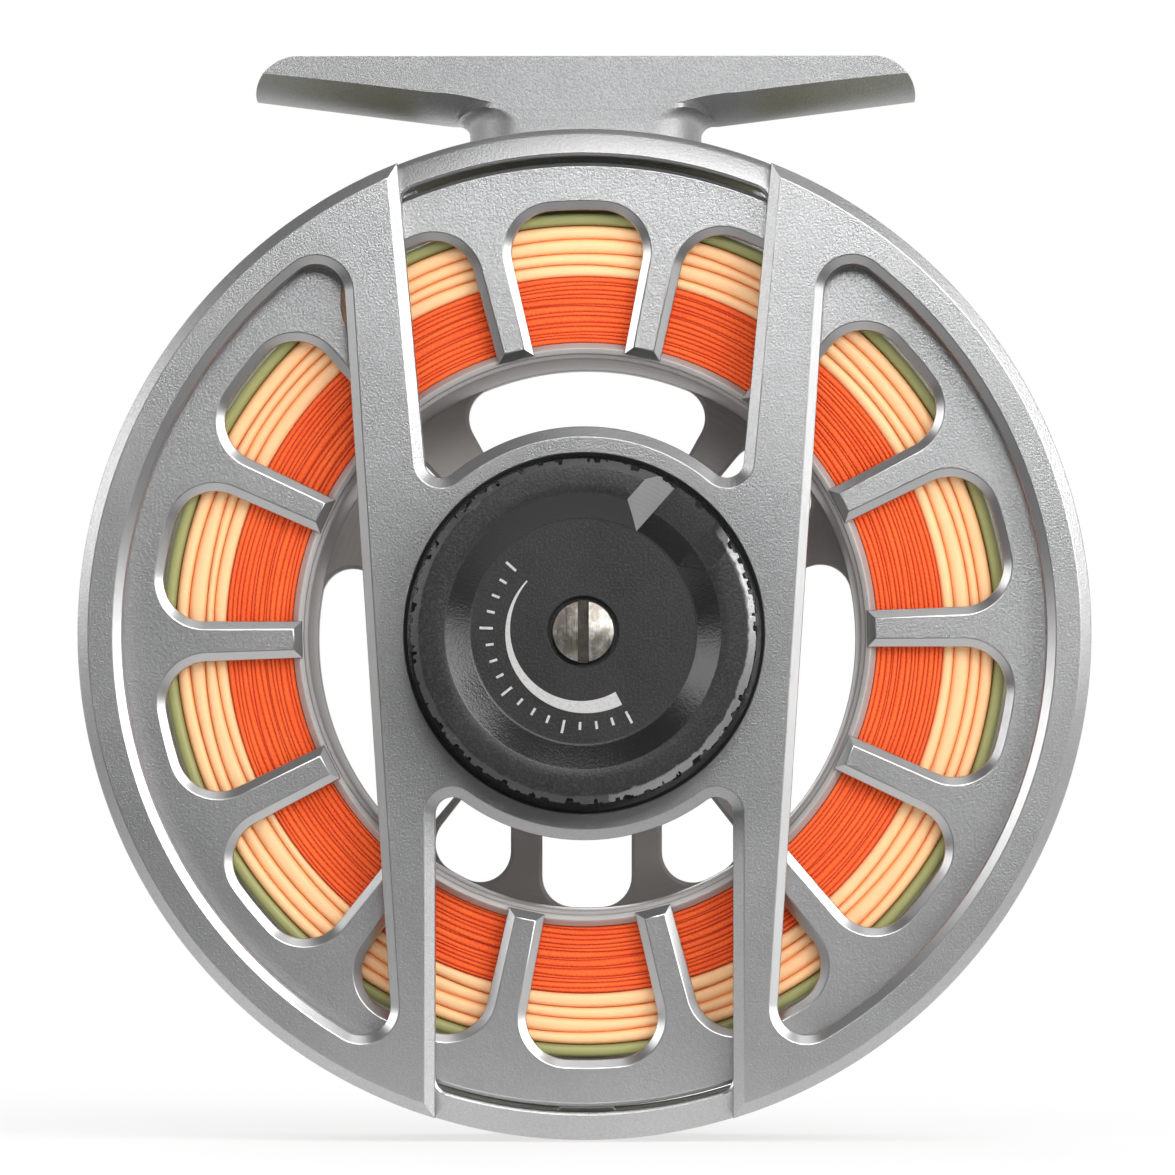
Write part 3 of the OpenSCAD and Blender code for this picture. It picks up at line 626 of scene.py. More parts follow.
def arbor_metal(s):
    """Inside of the arbor: warm grey anodising with turning lines."""
    p = s.place()
    _, y, _, r = s.axial()
    ring = ((r + y * 0.7) * 9000.0).call("SINE")
    cloud = s.noise(p, 120.0, 4.0)
    tone = s.mix(s.ramp(cloud, 0.3, 0.7), (0.40, 0.375, 0.36), (0.48, 0.455, 0.44))
    return s.principled(Base_Color=tone, Metallic=0.35, Roughness=0.52 + (cloud - 0.5) * 0.12,
                        Normal=s.bump(ring + s.noise(p, 5000.0, 2.0), 0.00001, 0.5))


def coated_line(light, deep, shade):
    """Coated fly line: smooth, slightly clear plastic, with painted shade in the hollows between
    the turns.
    """
    def make(s):
        uv, _, _, side = s.strand()
        along = s.noise(s.stretch(uv, (160.0, 1.0, 1.0)), 1.0, 3.0)
        speck = s.noise(s.place(), 1600.0, 3.0, 0.6)
        tone = s.mix(s.ramp(along, 0.25, 0.75), toned(light, 0.965), light)
        # Painted shade: a deeper colour in the hollows between the turns, and the shade colour at
        # their bottom.
        tone = s.mix(s.ramp(side, 0.45, 1.0) * 0.8, tone, deep)
        tone = s.mix(s.ramp(side, 0.9, 1.0) * 0.35, tone, shade)
        return s.principled(Base_Color=tone, Roughness=0.42 + (speck - 0.5) * 0.15,
                            Specular_IOR_Level=0.4, Subsurface_Weight=0.25,
                            Subsurface_Scale=0.0009, Subsurface_Radius=(1.0, 0.45, 0.2),
                            Normal=s.bump(speck, 0.00001, 0.4))
    return make


def braided_backing(s):
    """Braided backing: dull threads with a slanting braid, fuzz, and painted shade in the gaps
    between the turns.
    """
    uv, u, v, side = s.strand()
    braid = ((u * 420.0 + v * 0.5) * 6.283).call("SINE")
    braid2 = ((u * 420.0 - v * 0.5) * 6.283).call("SINE")
    fuzz = s.noise(s.stretch(uv, (900.0, 2.2, 1.0)), 1.0, 4.0, 0.7)
    patch = s.noise(s.stretch(uv, (26.0, 0.35, 1.0)), 1.0, 3.0)
    tone = s.mix(s.ramp(patch, 0.3, 0.7), (0.80, 0.07, 0.010), (0.90, 0.125, 0.022))
    tone = s.mix(s.ramp(fuzz, 0.35, 0.75) * 0.5, tone, (0.98, 0.21, 0.05))
    # Painted shade: the hollows between strands are darkened.
    tone = s.mix(s.ramp(side, 0.45, 1.0) * 0.72, tone, (0.50, 0.022, 0.004))
    return s.principled(Base_Color=tone, Roughness=0.78, Sheen_Weight=0.1, Sheen_Roughness=0.5,
                        Specular_IOR_Level=0.25,
                        Normal=s.bump(braid.call("MAXIMUM", braid2) * 0.5 + fuzz, 0.00006, 0.6))


def carbon_weave(s):
    """Woven carbon of the friction discs."""
    x, _, z = s.parts(s.place())
    a = (x * 3140.0).call("SINE") * (z * 3140.0).call("SINE")
    tone = s.mix(s.ramp(a, -0.2, 0.2), (0.02, 0.02, 0.022), (0.07, 0.07, 0.075))
    return s.principled(Base_Color=tone, Roughness=0.4 + s.ramp(a, -0.2, 0.2) * 0.15,
                        Normal=s.bump(a, 0.00004, 0.5))


def black_rubber(s):
    """Seal rubber, dull with a fine skin."""
    n = s.noise(s.place(), 2500.0, 3.0)
    return s.principled(Base_Color=s.mix(n, (0.02, 0.02, 0.02), (0.04, 0.04, 0.04)),
                        Roughness=0.6, Normal=s.bump(n, 0.00002, 0.4))


def grip_black(s):
    """Handle: satin black with turning lines along it and scuffed high spots."""
    p = s.place()
    _, y, _ = s.parts(p)
    ring = (y * 16000.0).call("SINE")
    n = s.noise(p, 1800.0, 3.0)
    cloud = s.noise(p, 200.0, 4.0)
    tone = s.mix(s.ramp(cloud, 0.3, 0.75), (0.022, 0.022, 0.023), (0.05, 0.049, 0.05))
    return s.principled(Base_Color=tone, Roughness=0.38 + (cloud - 0.5) * 0.2,
                        Normal=s.bump(ring * 0.6 + n, 0.000012, 0.5))


# ---------------------------------------------------------------- sizes and colours

def length(name, mm, text):
    """A size in millimetres, kept in metres."""
    return bpy.props.FloatProperty(name=name, description=text, default=mm * MM, min=0.0,
                                   unit="LENGTH", precision=5)


def degrees(name, deg, text):
    """An angle in degrees, kept in radians."""
    return bpy.props.FloatProperty(name=name, description=text, default=math.radians(deg),
                                   subtype="ANGLE", unit="ROTATION")


def colour(name, rgb, text):
    """A colour."""
    return bpy.props.FloatVectorProperty(name=name, description=text, default=rgb, size=3,
                                         min=0.0, max=1.0, subtype="COLOR")


def number(name, value, text):
    """A plain number."""
    return bpy.props.FloatProperty(name=name, description=text, default=value)


def count(name, value, low, high, text):
    """A whole number between two limits."""
    return bpy.props.IntProperty(name=name, description=text, default=value, min=low, max=high)


class CageSizes(bpy.types.PropertyGroup):
    """Sizes of the cage."""
    rim: length("Rim", 2.6, "Radial width of the rim at the middle windows")
    ring: length("Ring", 4.2, "Radial width of the ring beside the side windows")
    step: length("Step", 1.2, "Height of the bars above the rim")
    thick: length("Plate", 3.2, "Thickness of the plates")
    deep: length("Rim depth", 6.6, "Depth of the rim")
    front: length("Front ring", 4.0, "Depth of the front ring")
    bevel: length("Bevel", 0.85, "Width of the bevels along bars and windows")
    hub: length("Hub", 19.6, "Radius of the hub disc")
    recess: length("Recess", 16.8, "Radius of the recess around the knob")
    gap_top: length("Upper gap", 13.63, "Half the gap between the upper bars, at the axis")
    lean_top: degrees("Upper lean", 5.26, "Lean of the upper bars' inner edges")
    gap_low: length("Lower gap", 14.1, "Half the gap between the lower bars")
    out: length("Outer edge", 20.6, "Distance of the bars' outer edges, at the axis")
    lean_out: degrees("Outer lean", 3.72, "Lean of the bars' outer edges")
    fillet: length("Corner", 1.6, "Corner radius of the middle windows")
    apex: length("Apex", 2.7, "Corner radius of the side windows")
    silver: colour("Silver", (0.54, 0.54, 0.545), "Colour of the cage, flanges and foot")
    edge: colour("Cut edge", (0.62, 0.62, 0.62), "Colour of the bevels")


class SpoolSizes(bpy.types.PropertyGroup):
    """Sizes of the spool."""
    windows: count("Windows", 14, 8, 20, "Windows in a flange")
    turn: degrees("Turn", 1.1, "How far the rear flange's windows are turned from upright")
    rear: length("Rear flange", 1.8, "Thickness of the rear flange")
    front: length("Front flange", 2.0, "Thickness of the front flange")
    edge: length("Flange edge", 4.45, "Radial width outside the windows")
    spoke_in: length("Spoke, inner", 3.5, "Width of a spoke's base at the arbor")
    spoke_out: length("Spoke, outer", 3.95, "Width of a spoke's base at its outer end")
    bevel: length("Bevel", 0.8, "Width of the windows' bevels")
    fillet: length("Corner", 4.0, "Corner radius of the windows")
    spoke_end: length("Spoke end", 26.9, "Radius at which the spokes end")
    arbor: length("Arbor", 27.8, "Outer radius of the arbor")
    bore: length("Bore", 26.2, "Inner radius of the arbor")
    web: length("Web", 2.6, "Thickness of the web")
    port: length("Port", 16.0, "Inner radius of the web's ports")


class LineSizes(bpy.types.PropertyGroup):
    """Sizes and colours of what is wound on the spool."""
    backing: length("Backing", 34.1, "Outer radius of the backing")
    running: length("Running line", 39.0, "Outer radius of the running line")
    peach: colour("Peach", (0.94, 0.56, 0.29), "Colour of the running line")
    # The colours between the turns are painted shade in the hollows.
    peach_deep: colour("Peach, between", (0.90, 0.40, 0.16), "Colour between its turns")
    olive: colour("Olive", (0.33, 0.335, 0.135), "Colour of the last turns")
    olive_deep: colour("Olive, between", (0.16, 0.15, 0.045), "Colour between the last turns")


class KnobSizes(bpy.types.PropertyGroup):
    """Sizes of the drag knob and its screw."""
    ring: length("Ring", 13.0, "Inner radius of the raised ring")
    disc: length("Disc", 10.65, "Radius of the recessed disc")
    dish: length("Dish", 1.5, "Depth of the recessed disc")
    notch: length("Notch", 5.0, "Width of the notch's floor")
    slope: length("Slope", 2.6, "Width of the notch's sloping walls")
    notch_at: degrees("Notch angle", 48.5, "Where the notch lies")
    screw: length("Screw", 2.95, "Radius of the centre screw's head")
    hole: length("Screw recess", 3.35, "Radius of the recess around the screw")
    flutes: count("Flutes", 44, 12, 80, "Flutes around the knob")


class FootSizes(bpy.types.PropertyGroup):
    """Sizes of the rod foot."""
    saddle: length("Saddle", 9.6, "Radius of the saddle")
    tip_run: length("Tip run", 3.9, "Length of the tips' rounding")
    tip_drop: length("Tip drop", 3.8, "Height of the tips' rounding")
    pedestal: length("Pedestal", 22.3, "Width of the pedestal")
    corner: length("Corner", 4.7, "Corner radius of the pedestal")
    flare: length("Flare", 1.2, "Radius of the fillet under the wings")


class HandleSizes(bpy.types.PropertyGroup):
    """Sizes of the handle's side."""
    at: length("Handle at", 34.5, "Radius at which the handle stands")
    weight_at: length("Counterweight at", 37.4, "Radius at which the counterweight sits")
    weight: length("Counterweight", 5.6, "Radius of the counterweight")
    cap: length("Cap", 13.0, "Radius of the cap")
    screws: length("Cap screws", 11.05, "Radius at which the cap's screws stand")


class ShotSizes(bpy.types.PropertyGroup):
    """Camera and lamps."""
    distance: length("Distance", 800.0, "From the camera to the side plates")
    tilt: degrees("Tilt", 1.65, "How far the camera looks up")
    yaw: degrees("Yaw", 0.65, "How far the camera stands to the right")
    scale: number("Scale", 8.996, "Share of the frame that a metre fills at the plates")
    right: length("Right", 0.33, "How far the middle of the frame lies to the right of the axis")
    above: length("Above", 4.3, "How far the middle of the frame lies above the axis")
    ambient: number("Ambient", 0.62, "Light from all around")
    front: number("Front", 0.13, "Brightness of the studio behind the camera")


GROUPS = {"reel_cage": CageSizes, "reel_spool": SpoolSizes, "reel_line": LineSizes,
          "reel_knob": KnobSizes, "reel_foot": FootSizes, "reel_handle": HandleSizes,
          "reel_shot": ShotSizes}


class Sizes:
    """A property group's sizes in millimetres and degrees, colours as tuples."""

    def __init__(self, group):
        for key, prop in group.bl_rna.properties.items():
            if key in ("rna_type", "name"):
                continue
            v = getattr(group, key)
            if prop.type == "FLOAT" and getattr(prop, "is_array", False):
                v = tuple(v)
            elif prop.type == "FLOAT" and prop.unit == "LENGTH":
                v = v / MM
            elif prop.type == "FLOAT" and prop.unit == "ROTATION":
                v = math.degrees(v)
            setattr(self, key, v)


def sizes(context, name):
    """The sizes of one property group."""
    return Sizes(getattr(context.scene, name))


def silver_set(c):
    """Blasted face, cut bevel and wall of the silver pieces; the wall is a darker copy of the
    blasted face, as painted shade.
    """
    return [finish("blasted silver", blasted(c.silver, 0.36)),
            finish("cut silver edge", cut_edge(c.edge, 0.30)),
            # Painted shade: the walls and recesses take a darker copy of the blasted silver.
            finish("blasted silver wall", blasted(toned(c.silver, 0.8), 0.46, 1.2))]


# ---------------------------------------------------------------- cage

def notch_path(n1, d1, n2, d2, r, f):
    """From one straight side round a fillet, along the hub's arc and round the other
    fillet to the second side, counter-clockwise about the axis."""
    c4, c3 = seat(n1, turned(n1, -90), d1, f, r + f), seat(n2, turned(n2, 90), d2, f, r + f)
    a4, a3 = angle(c4), angle(c3)
    s, e = angle(-n1), angle(-n2)
    return np.concatenate([arc(c4, f, after(a4 + 180, s), a4 + 180, 9),
                           arc((0, 0), r, a4, after(a4, a3), 1.5)[1:-1],
                           arc(c3, f, after(e, a3 + 180), e, 9)])


def raised_outline(c):
    """Outline of the raised plates, bars and hub, counter-clockwise."""
    nt = turned([-1, 0], -c.lean_top)
    nt2 = nt * [-1, 1]
    dt = -c.gap_top * math.cos(math.radians(c.lean_top))
    nb, nb2 = np.array([1.0, 0.0]), np.array([-1.0, 0.0])
    top_r = seat(nt, turned(nt, -90), dt, 0, CAGE_R)
    top_l = top_r * [-1, 1]
    low_l = seat(nb, turned(nb, -90), -c.gap_low, 0, CAGE_R)
    low_r = low_l * [-1, 1]
    ar, al, bl, br = angle(top_r), angle(top_l), angle(low_l) % 360, angle(low_r)

    def outside(a, b):
        """The cage's edge from one corner to the next, with no point within the bevel's
        reach of a corner."""
        return np.concatenate([[polar(CAGE_R, a)], arc((0, 0), CAGE_R, a + 2.6, b - 2.6, 1.2),
                               [polar(CAGE_R, b)]])

    return np.concatenate([
        outside(br, ar), notch_path(nt, dt, nt2, dt, c.hub, c.fillet),
        outside(al, bl),
        notch_path(nb, -c.gap_low, nb2, -c.gap_low, c.hub, c.fillet)])


def side_window(c):
    """Outline of the right-hand side window, counter-clockwise."""
    return segment(turned([1, 0], -c.lean_out), c.out * math.cos(math.radians(c.lean_out)),
                   CAGE_R - c.ring, c.apex)


class REEL_OT_cage(bpy.types.Operator):
    """Cage: raised plates and bars with bevelled windows, rim, pillars and front ring"""
    bl_idname = "reel.cage"
    bl_label = "Cage"

    def execute(self, context):
        c = sizes(context, "reel_cage")
        s = Shell()
        right = side_window(c)
        plate(s, [raised_outline(c), right[::-1], right * [-1, 1], circle(c.recess)[::-1]],
              PLATE_H, PLATE_H - c.thick, edge=[1.02, c.bevel, c.bevel, 0.3], edge_low=0.25,
              bevel=[0, 1, 1, 0])
        low, ring_top, back = PLATE_H - c.deep, PLATE_H - c.step, PLATE_H - c.thick
        r1, r2 = CAGE_R - c.rim, CAGE_R - SKIN
        lathe(s, soft([(r1, low), (r2 - 0.3, low), (r2, low + 0.3), (r2, ring_top - 1.15),
                       (r2 - 0.55, ring_top - 0.78), (r1 + 0.25, ring_top),
                       (r1, ring_top - 0.12)],
                      [0.15, 0.05, 0.05, 0.12, 0.12, 0.12, 0.08]), LARGE)
        # The knob's recess takes the darker wall finish: painted shade.
        disc, floor = c.recess + 0.1, PLATE_H - 2.6
        lathe(s, [(SPINDLE_HOLE, back + 0.05), (disc, back + 0.05), (disc, floor),
                  (KNOB_SEAT, floor), (KNOB_SEAT, PLATE_H), (SPINDLE_HOLE, PLATE_H)], finish=2)
        # Fillets between the bars and the rim.
        upper = turned([-1, 0], -c.lean_top), -c.gap_top * math.cos(math.radians(c.lean_top))
        for n, d in (upper, (np.array([1.0, 0.0]), -c.gap_low)):
            for m in (1, -1):
                nn = n * [m, 1]
                gusset(s, nn, turned(nn, -90) * m, d, c.fillet, r1, ring_top, back)
        lathe(s, [(HOUSING_IN, 0.0), (HOUSING, 0.0), (HOUSING, back + 0.1),
                  (HOUSING_IN, back + 0.1)], finish=2)
        f0, f1 = RING_FACE, RING_FACE + c.front
        lathe(s, soft([(r1 + 0.2, f0), (r2 - 0.7, f0), (r2, f0 + 0.7), (r2, f1 - 0.3),
                       (r2 - 0.3, f1), (r1 + 0.2, f1)],
                      [0.2, 0.12, 0.12, 0.05, 0.05, 0.15]), LARGE)
        # Pillars: the angle at which each stands and half the angle that it spans.
        for at, half in ((90, 21.0), (212, 3.6), (270, 3.6), (328, 3.6)):
            loop = sector(turned([0, 1], at - half), 0, turned([0, -1], at + half), 0,
                          r1 + 0.2, CAGE_R - 0.03, 0.5, 0.5)
            prism(s, loop, low + 0.2, f1 - 0.2)
        ob = s.build("cage", silver_set(c))
        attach(ob, "frame")
        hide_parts("frame")
        return {"FINISHED"}


def gusset(shell, normal, along, d, f, r, top, low):
    """Fills the corner between a bar's edge and the rim up to a fillet of radius f."""
    c = seat(normal, along, d, f, r - f)
    a, b = angle(-normal), angle(c)
    b = a + (b - a + 180) % 360 - 180
    inner = arc(c, f, a, b, 6)
    if b < a:
        inner = inner[::-1]
    foot = c - (f + 0.4) * normal
    rim = c + polar(f + 0.4, angle(c))
    out = c + polar(f * 1.6, (a + b) / 2)
    ends = [foot, out, rim] if b > a else [rim, out, foot]
    plate(shell, [np.concatenate([inner[::-1], ends])], top, low, edge=0.22, edge_low=0.1,
          soft_r=0.03)


def fan(shell, loop):
    """Closes a loop of points (n, 3) with triangles about its mean point."""
    k = np.arange(len(loop))
    tris = np.stack([k, (k + 1) % len(loop), np.full(len(loop), len(loop))], 1)
    shell.add(np.concatenate([loop, loop.mean(0)[None]]), tris, flat=1)


def prism(shell, loop, top, low):
    """A flat outline carried straight between two heights, closed at both ends."""
    shell.grid(np.stack([at_height(loop, h) for h in (low, top)], 1), closed_v=False)
    cap(shell, [loop], top)
    cap(shell, [loop], low, flip=True)


# ---------------------------------------------------------------- foot

class REEL_OT_foot(bpy.types.Operator):
    """Rod foot: saddle, round tips, bellied underside and a pedestal with round corners"""
    bl_idname = "reel.foot"
    bl_label = "Rod foot"

    def execute(self, context):
        q = sizes(context, "reel_foot")
        c = sizes(context, "reel_cage")
        hl, hw, top = FOOT_HI
        # How far from the middle the belly and the side's curve reach the pedestal.
        belly, shoulder = 12.8, 14.6
        power = 2.4

        def under(x, h):
            """Underside: a belly that falls from the side's lower edge to the middle as
            1 - |h / half width|^2.4, the edge itself curving down to the pedestal."""
            ax = np.abs(x)
            mid = top - q.tip_drop - 2.4 * np.clip((hl - ax) / (hl - belly), 0, 1)
            side = top - 1.6 - 1.9 * np.clip((hl - ax) / (hl - shoulder), 0, 1) ** 1.15
            side = side - 1.65 * np.clip((shoulder - ax) / 7.7, 0, 1) ** 1.7
            return mid + (side - mid) * np.clip(np.abs(h) / hw, 0, 1) ** power, mid, side

        u = np.sin(np.linspace(-np.pi / 2, np.pi / 2, 221))
        x = u * hl
        _, mid, side = under(x, 0)
        run = np.clip((np.abs(x) - (hl - q.tip_run)) / q.tip_run, 0, 1)
        tip = top - q.tip_drop * (0.8 * (1 - np.sqrt(1 - run ** 2)) + 0.2 * run ** 1.5)
        w = hw * np.clip((tip - mid) / (side - mid), 1e-6, 1) ** (1 / power)
        k = np.linspace(-1, 1, 33)
        h_top = w[:, None] * k[None]
        z_top = np.minimum(tip[:, None], q.saddle - np.sqrt(q.saddle ** 2 - h_top ** 2))
        h_low = -h_top
        z_low = np.minimum(under(x[:, None], h_low)[0], np.minimum(tip[:, None], 9.0))
        pts = np.stack([np.broadcast_to(x[:, None], (len(x), 2 * len(k))),
                        np.concatenate([z_top, z_low], 1) - AXIS_Z,
                        np.concatenate([h_top, h_low], 1)], -1)
        s = Shell()
        s.grid(pts, closed_u=False)
        # Pedestal: a rounded rectangle carried up to the wings and flared by a fillet.
        hx, hh = q.pedestal / 2, hw - SKIN
        r = q.corner
        loop = np.concatenate([
            arc((sx * (hx - r), sh * (hh - r)), r, a, a + 90, 5)
            for sx, sh, a in ((1, 1, 0), (-1, 1, 90), (-1, -1, 180), (1, -1, 270))])
        reach = under(loop[:, 0], loop[:, 1])[0] - 0.02
        a = np.radians(np.linspace(0, 90, 9))
        base = np.full((len(loop), 1), CAGE_R - 2.0 + AXIS_Z)
        z = np.concatenate([base, reach[:, None] - q.flare * (1 - np.sin(a))[None],
                            reach[:, None] + 0.6], 1)
        out = np.concatenate([[0.0], q.flare * (1 - np.cos(a)), [q.flare * 0.5]])
        ring = np.stack([inset(loop, -d) for d in out], 1)
        ring[..., 1] = np.clip(ring[..., 1], -hh, hh)
        rows = np.stack([ring[..., 0], z - AXIS_Z, ring[..., 1]], -1)
        s.grid(rows[:, ::-1], closed_v=False)
        for end in (0, -1):
            fan(s, rows[:, end])
        foot = finish("blasted foot", blasted(toned(c.silver, 0.87), 0.5))
        ob = s.build("rod_foot", [foot] + silver_set(c)[1:], smooth=38)
        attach(ob, "frame")
        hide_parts("reel_foot")
        bevel(ob, 0.16)
        return {"FINISHED"}


def bevel(ob, width):
    """A small round along the piece's edges of 40 degrees or more."""
    m = ob.modifiers.new("edge round", "BEVEL")
    m.width, m.segments, m.limit_method = width * MM, 2, "ANGLE"
    m.angle_limit = math.radians(40.0)


# ---------------------------------------------------------------- spool

def spoke_sides(q, a):
    """Unit normals and distances of the two sides of a spoke at angle a: the upper side
    faces counter-clockwise, the lower one clockwise."""
    tilt = math.atan((q.spoke_out - q.spoke_in) / 2 / (FLANGE_R - q.edge - q.spoke_end))
    d = q.spoke_in / 2 * math.cos(tilt) - q.spoke_end * math.sin(tilt)
    t = math.degrees(tilt)
    return turned([0, 1], a + t), turned([0, -1], a - t), d


def spoke_rim(q):
    """One closed outline round all the windows and spoke ends, counter-clockwise."""
    p = 360.0 / q.windows
    r = FLANGE_R - q.edge
    parts = []
    for i in range(q.windows):
        a = 90 + q.turn + (i - 0.5) * p
        n1, _, d = spoke_sides(q, a)
        _, n2, _ = spoke_sides(q, a + p)
        u1, u2 = turned(n1, -90), turned(n2, 90)
        c1 = seat(n1, u1, d, q.fillet, r - q.fillet)
        c2 = seat(n2, u2, d, q.fillet, r - q.fillet)
        a1, a2, o = angle(c1), angle(c2), angle(-n1)
        e1 = q.spoke_end * u1 + d * n1
        e2 = q.spoke_end * u2 + d * n2
        parts += [e1[None], arc(c1, q.fillet, o, after(o, a1), 6),
                  arc((0, 0), r, a1, after(a1, a2), 1.2)[1:-1],
                  arc(c2, q.fillet, a2, after(a2, angle(-n2)), 6), e2[None]]
    return np.concatenate(parts)


# Sides of the web's ports, as (unit normal, distance) pairs: an angle stands for a side
# along that direction, a number after it for an upright side at that distance.
PORTS = (((61, None), (119, None)), ((133, None), (152, None)), ((163, None), (230, None)),
         ((232, None), (-1, 7.4)), ((1, -4.35), (-1, -4.35)), ((1, 7.3), (308, None)),
         ((313, None), (378, None)), ((28, None), (50.5, None)))


def port(first, second, r1, r2, f1, f2):
    """Outline of a port between its two sides."""
    (n1, d1), (n2, d2) = (
        (np.array([a, 0.0]), d) if d is not None else (turned([0, y], a), 0.0)
        for (a, d), y in ((first, 1), (second, -1)))
    return sector(n1, d1, n2, d2, r1, r2, f1, f2)[::-1]


class REEL_OT_spool(bpy.types.Operator):
    """Spool: flanges with bevelled windows, stepped arbor, ported web and hub"""
    bl_idname = "reel.spool"
    bl_label = "Spool"

    def execute(self, context):
        q = sizes(context, "reel_spool")
        s = Shell()
        plate(s, [circle(FLANGE_R, LARGE), spoke_rim(q)[::-1]], FLANGE_H, FLANGE_H - q.rear,
              edge=[0.35, q.bevel], edge_low=[0.3, 0.1])
        p = 360.0 / q.windows
        holes = []
        for i in range(q.windows):
            # No window behind the handle or the counterweight.
            if i in (0, q.windows // 2):
                continue
            a = 90 + (i - 0.5) * p
            n1, _, d = spoke_sides(q, a)
            _, n2, _ = spoke_sides(q, a + p)
            hole = sector(n1, d, n2, d, q.arbor + 3.2, FLANGE_R - q.edge - 1, 1.5, q.fillet)
            holes.append(hole[::-1])
        lo, hi = SPOOL_FACE, SPOOL_FACE + q.front
        plate(s, [circle(FLANGE_R, LARGE), circle(q.bore + 0.2)[::-1]] + holes, hi, lo,
              edge=[0.3, 0.1] + [0.15] * len(holes), edge_low=[0.5, 0.1] + [0.7] * len(holes))
        o, b = q.arbor, q.bore
        lathe(s, soft([(b, lo + 0.3), (o, lo + 0.3), (o, FLANGE_H - q.rear + 0.1),
                       (o - 0.55, FLANGE_H - 0.75), (q.spoke_end - 0.15, FLANGE_H - 0.95),
                       (q.spoke_end - 0.2, FLANGE_H - 1.35), (b + 0.15, FLANGE_H - 1.5),
                       (b, FLANGE_H - 2.2)],
                      [0.02, 0.02, 0.05, 0.12, 0.08, 0.08, 0.12, 0.2]), 360, 3)
        web = lo + 1.4
        ports = [port(u, v, q.port, b - 0.04, 1.8, 3.0) for u, v in PORTS]
        edges = [0.02, 0.02] + [0.35] * len(ports)
        plate(s, [circle(b + 0.1), hexagon(16.2)[::-1]] + ports, web + q.web, web,
              edge=edges, edge_low=edges, face=3, bevel=3, wall=3, soft_r=0.02)
        plate(s, [circle(12.4, 120), hexagon(16.1)[::-1]], -2.0, lo, edge=0.3, edge_low=0.3)
        silver = silver_set(sizes(context, "reel_cage"))
        ob = s.build("spool_body", silver + [finish("arbor metal", arbor_metal)])
        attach(ob, "spool")
        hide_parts("spool")
        return {"FINISHED"}


def hexagon(flats):
    """Regular hexagon of this size across its flats, counter-clockwise."""
    return circle(flats / 2 / math.cos(math.pi / 6), 6)


# ---------------------------------------------------------------- windings

def wobble(rng, t, count, size):
    """Smooth closed variation for each strand: a sum of a few whole-number waves."""
    k = np.array([1, 2, 3, 5, 8, 13])
    amp = size * rng.normal(size=(count, len(k))) / np.sqrt(k)[None] / 2
    ph = rng.uniform(0, 2 * np.pi, (count, len(k)))
    return (amp[:, :, None] * np.sin(k[None, :, None] * t[None, None] + ph[:, :, None])).sum(1)


def winding(r_in, r_out, strands, turns, seed, drift, per=14, n=360, outside=True):
    """A wound band as one closed ring. Its cross-section is carried round the axis: up the
    knob side over half-round strands whose radii wander with the angle, across the
    outside over turns that climb one pitch a turn, and back along the handle side.
    A strand's face stands w sqrt(1 - s^2) above its hollow, s from -1 to 1 across it, in
    per steps."""
    rng = np.random.default_rng(seed)
    t = np.linspace(0, 2 * np.pi, n)
    pitch = (r_out - r_in) / strands
    w = pitch / 2

    def face():
        edge = np.linspace(r_in, r_out, strands + 1)[:, None] + np.zeros((1, n))
        edge[1:-1] += wobble(rng, t, strands - 1, drift * pitch)
        edge[1:-1] = np.clip(edge[1:-1], r_in + 0.05, r_out - 0.05)
        edge = np.sort(edge, 0)
        lift = wobble(rng, t, strands, 0.16 * pitch)
        s = np.linspace(-1, 1, per + 1)[:-1]
        r = edge[:-1, None] + (edge[1:] - edge[:-1])[:, None] * (s[None, :, None] + 1) / 2
        h = -w * 0.95 * (1 - np.sqrt(np.clip(1 - s ** 2, 0, 1)))[None, :, None]
        h = h + np.minimum(lift, 0)[:, None]
        v = np.broadcast_to((np.arange(strands)[:, None] + (s[None] + 1) / 2)[..., None], r.shape)
        r = np.concatenate([r.reshape(-1, n), np.full((1, n), r_out)])
        h = np.concatenate([h.reshape(-1, n), h[-1, -1:] - w * 0.4])
        v = np.concatenate([v.reshape(-1, n), np.full((1, n), strands - 0.001)])
        return r, h, v

    ra, ha, va = face()
    rb, hb, vb = face()
    top, low = WIND_HI, WIND_LO
    # Outside: turns along the width, helical.
    if outside:
        m = turns * 6
        g = np.linspace(0, 1, m + 1)[1:-1]
        h0 = top - w - (top - low - 2 * w) * g[:, None] + np.zeros((1, n))
        phase = (g[:, None] * turns + t[None] / (2 * np.pi)) % 1.0
        bulge = np.sqrt(np.clip(1 - (2 * phase - 1) ** 2, 0, 1))
        ro = r_out - w * 0.8 * (1 - bulge)
        vo = strands + g[:, None] * turns + t[None] / (2 * np.pi)
    else:
        h0 = np.array([[top - w], [low + w]]) + np.zeros((1, n))
        ro = np.full((2, n), r_out)
        vo = np.full((2, n), strands + 0.5)
    # The cross-section runs counter-clockwise: handle side outwards, outside upwards,
    # knob side inwards.
    r = np.concatenate([rb, ro[::-1], ra[::-1]])
    h = np.concatenate([low - hb, h0[::-1], (top + ha)[::-1]])
    v = np.concatenate([vb, vo[::-1], va[::-1]])
    pts = np.stack([(r * np.cos(t)).T, (r * np.sin(t)).T, h.T], -1)
    uv = np.stack([np.broadcast_to((t / (2 * np.pi))[:, None], (n, len(r))), v.T], -1)
    return pts, uv


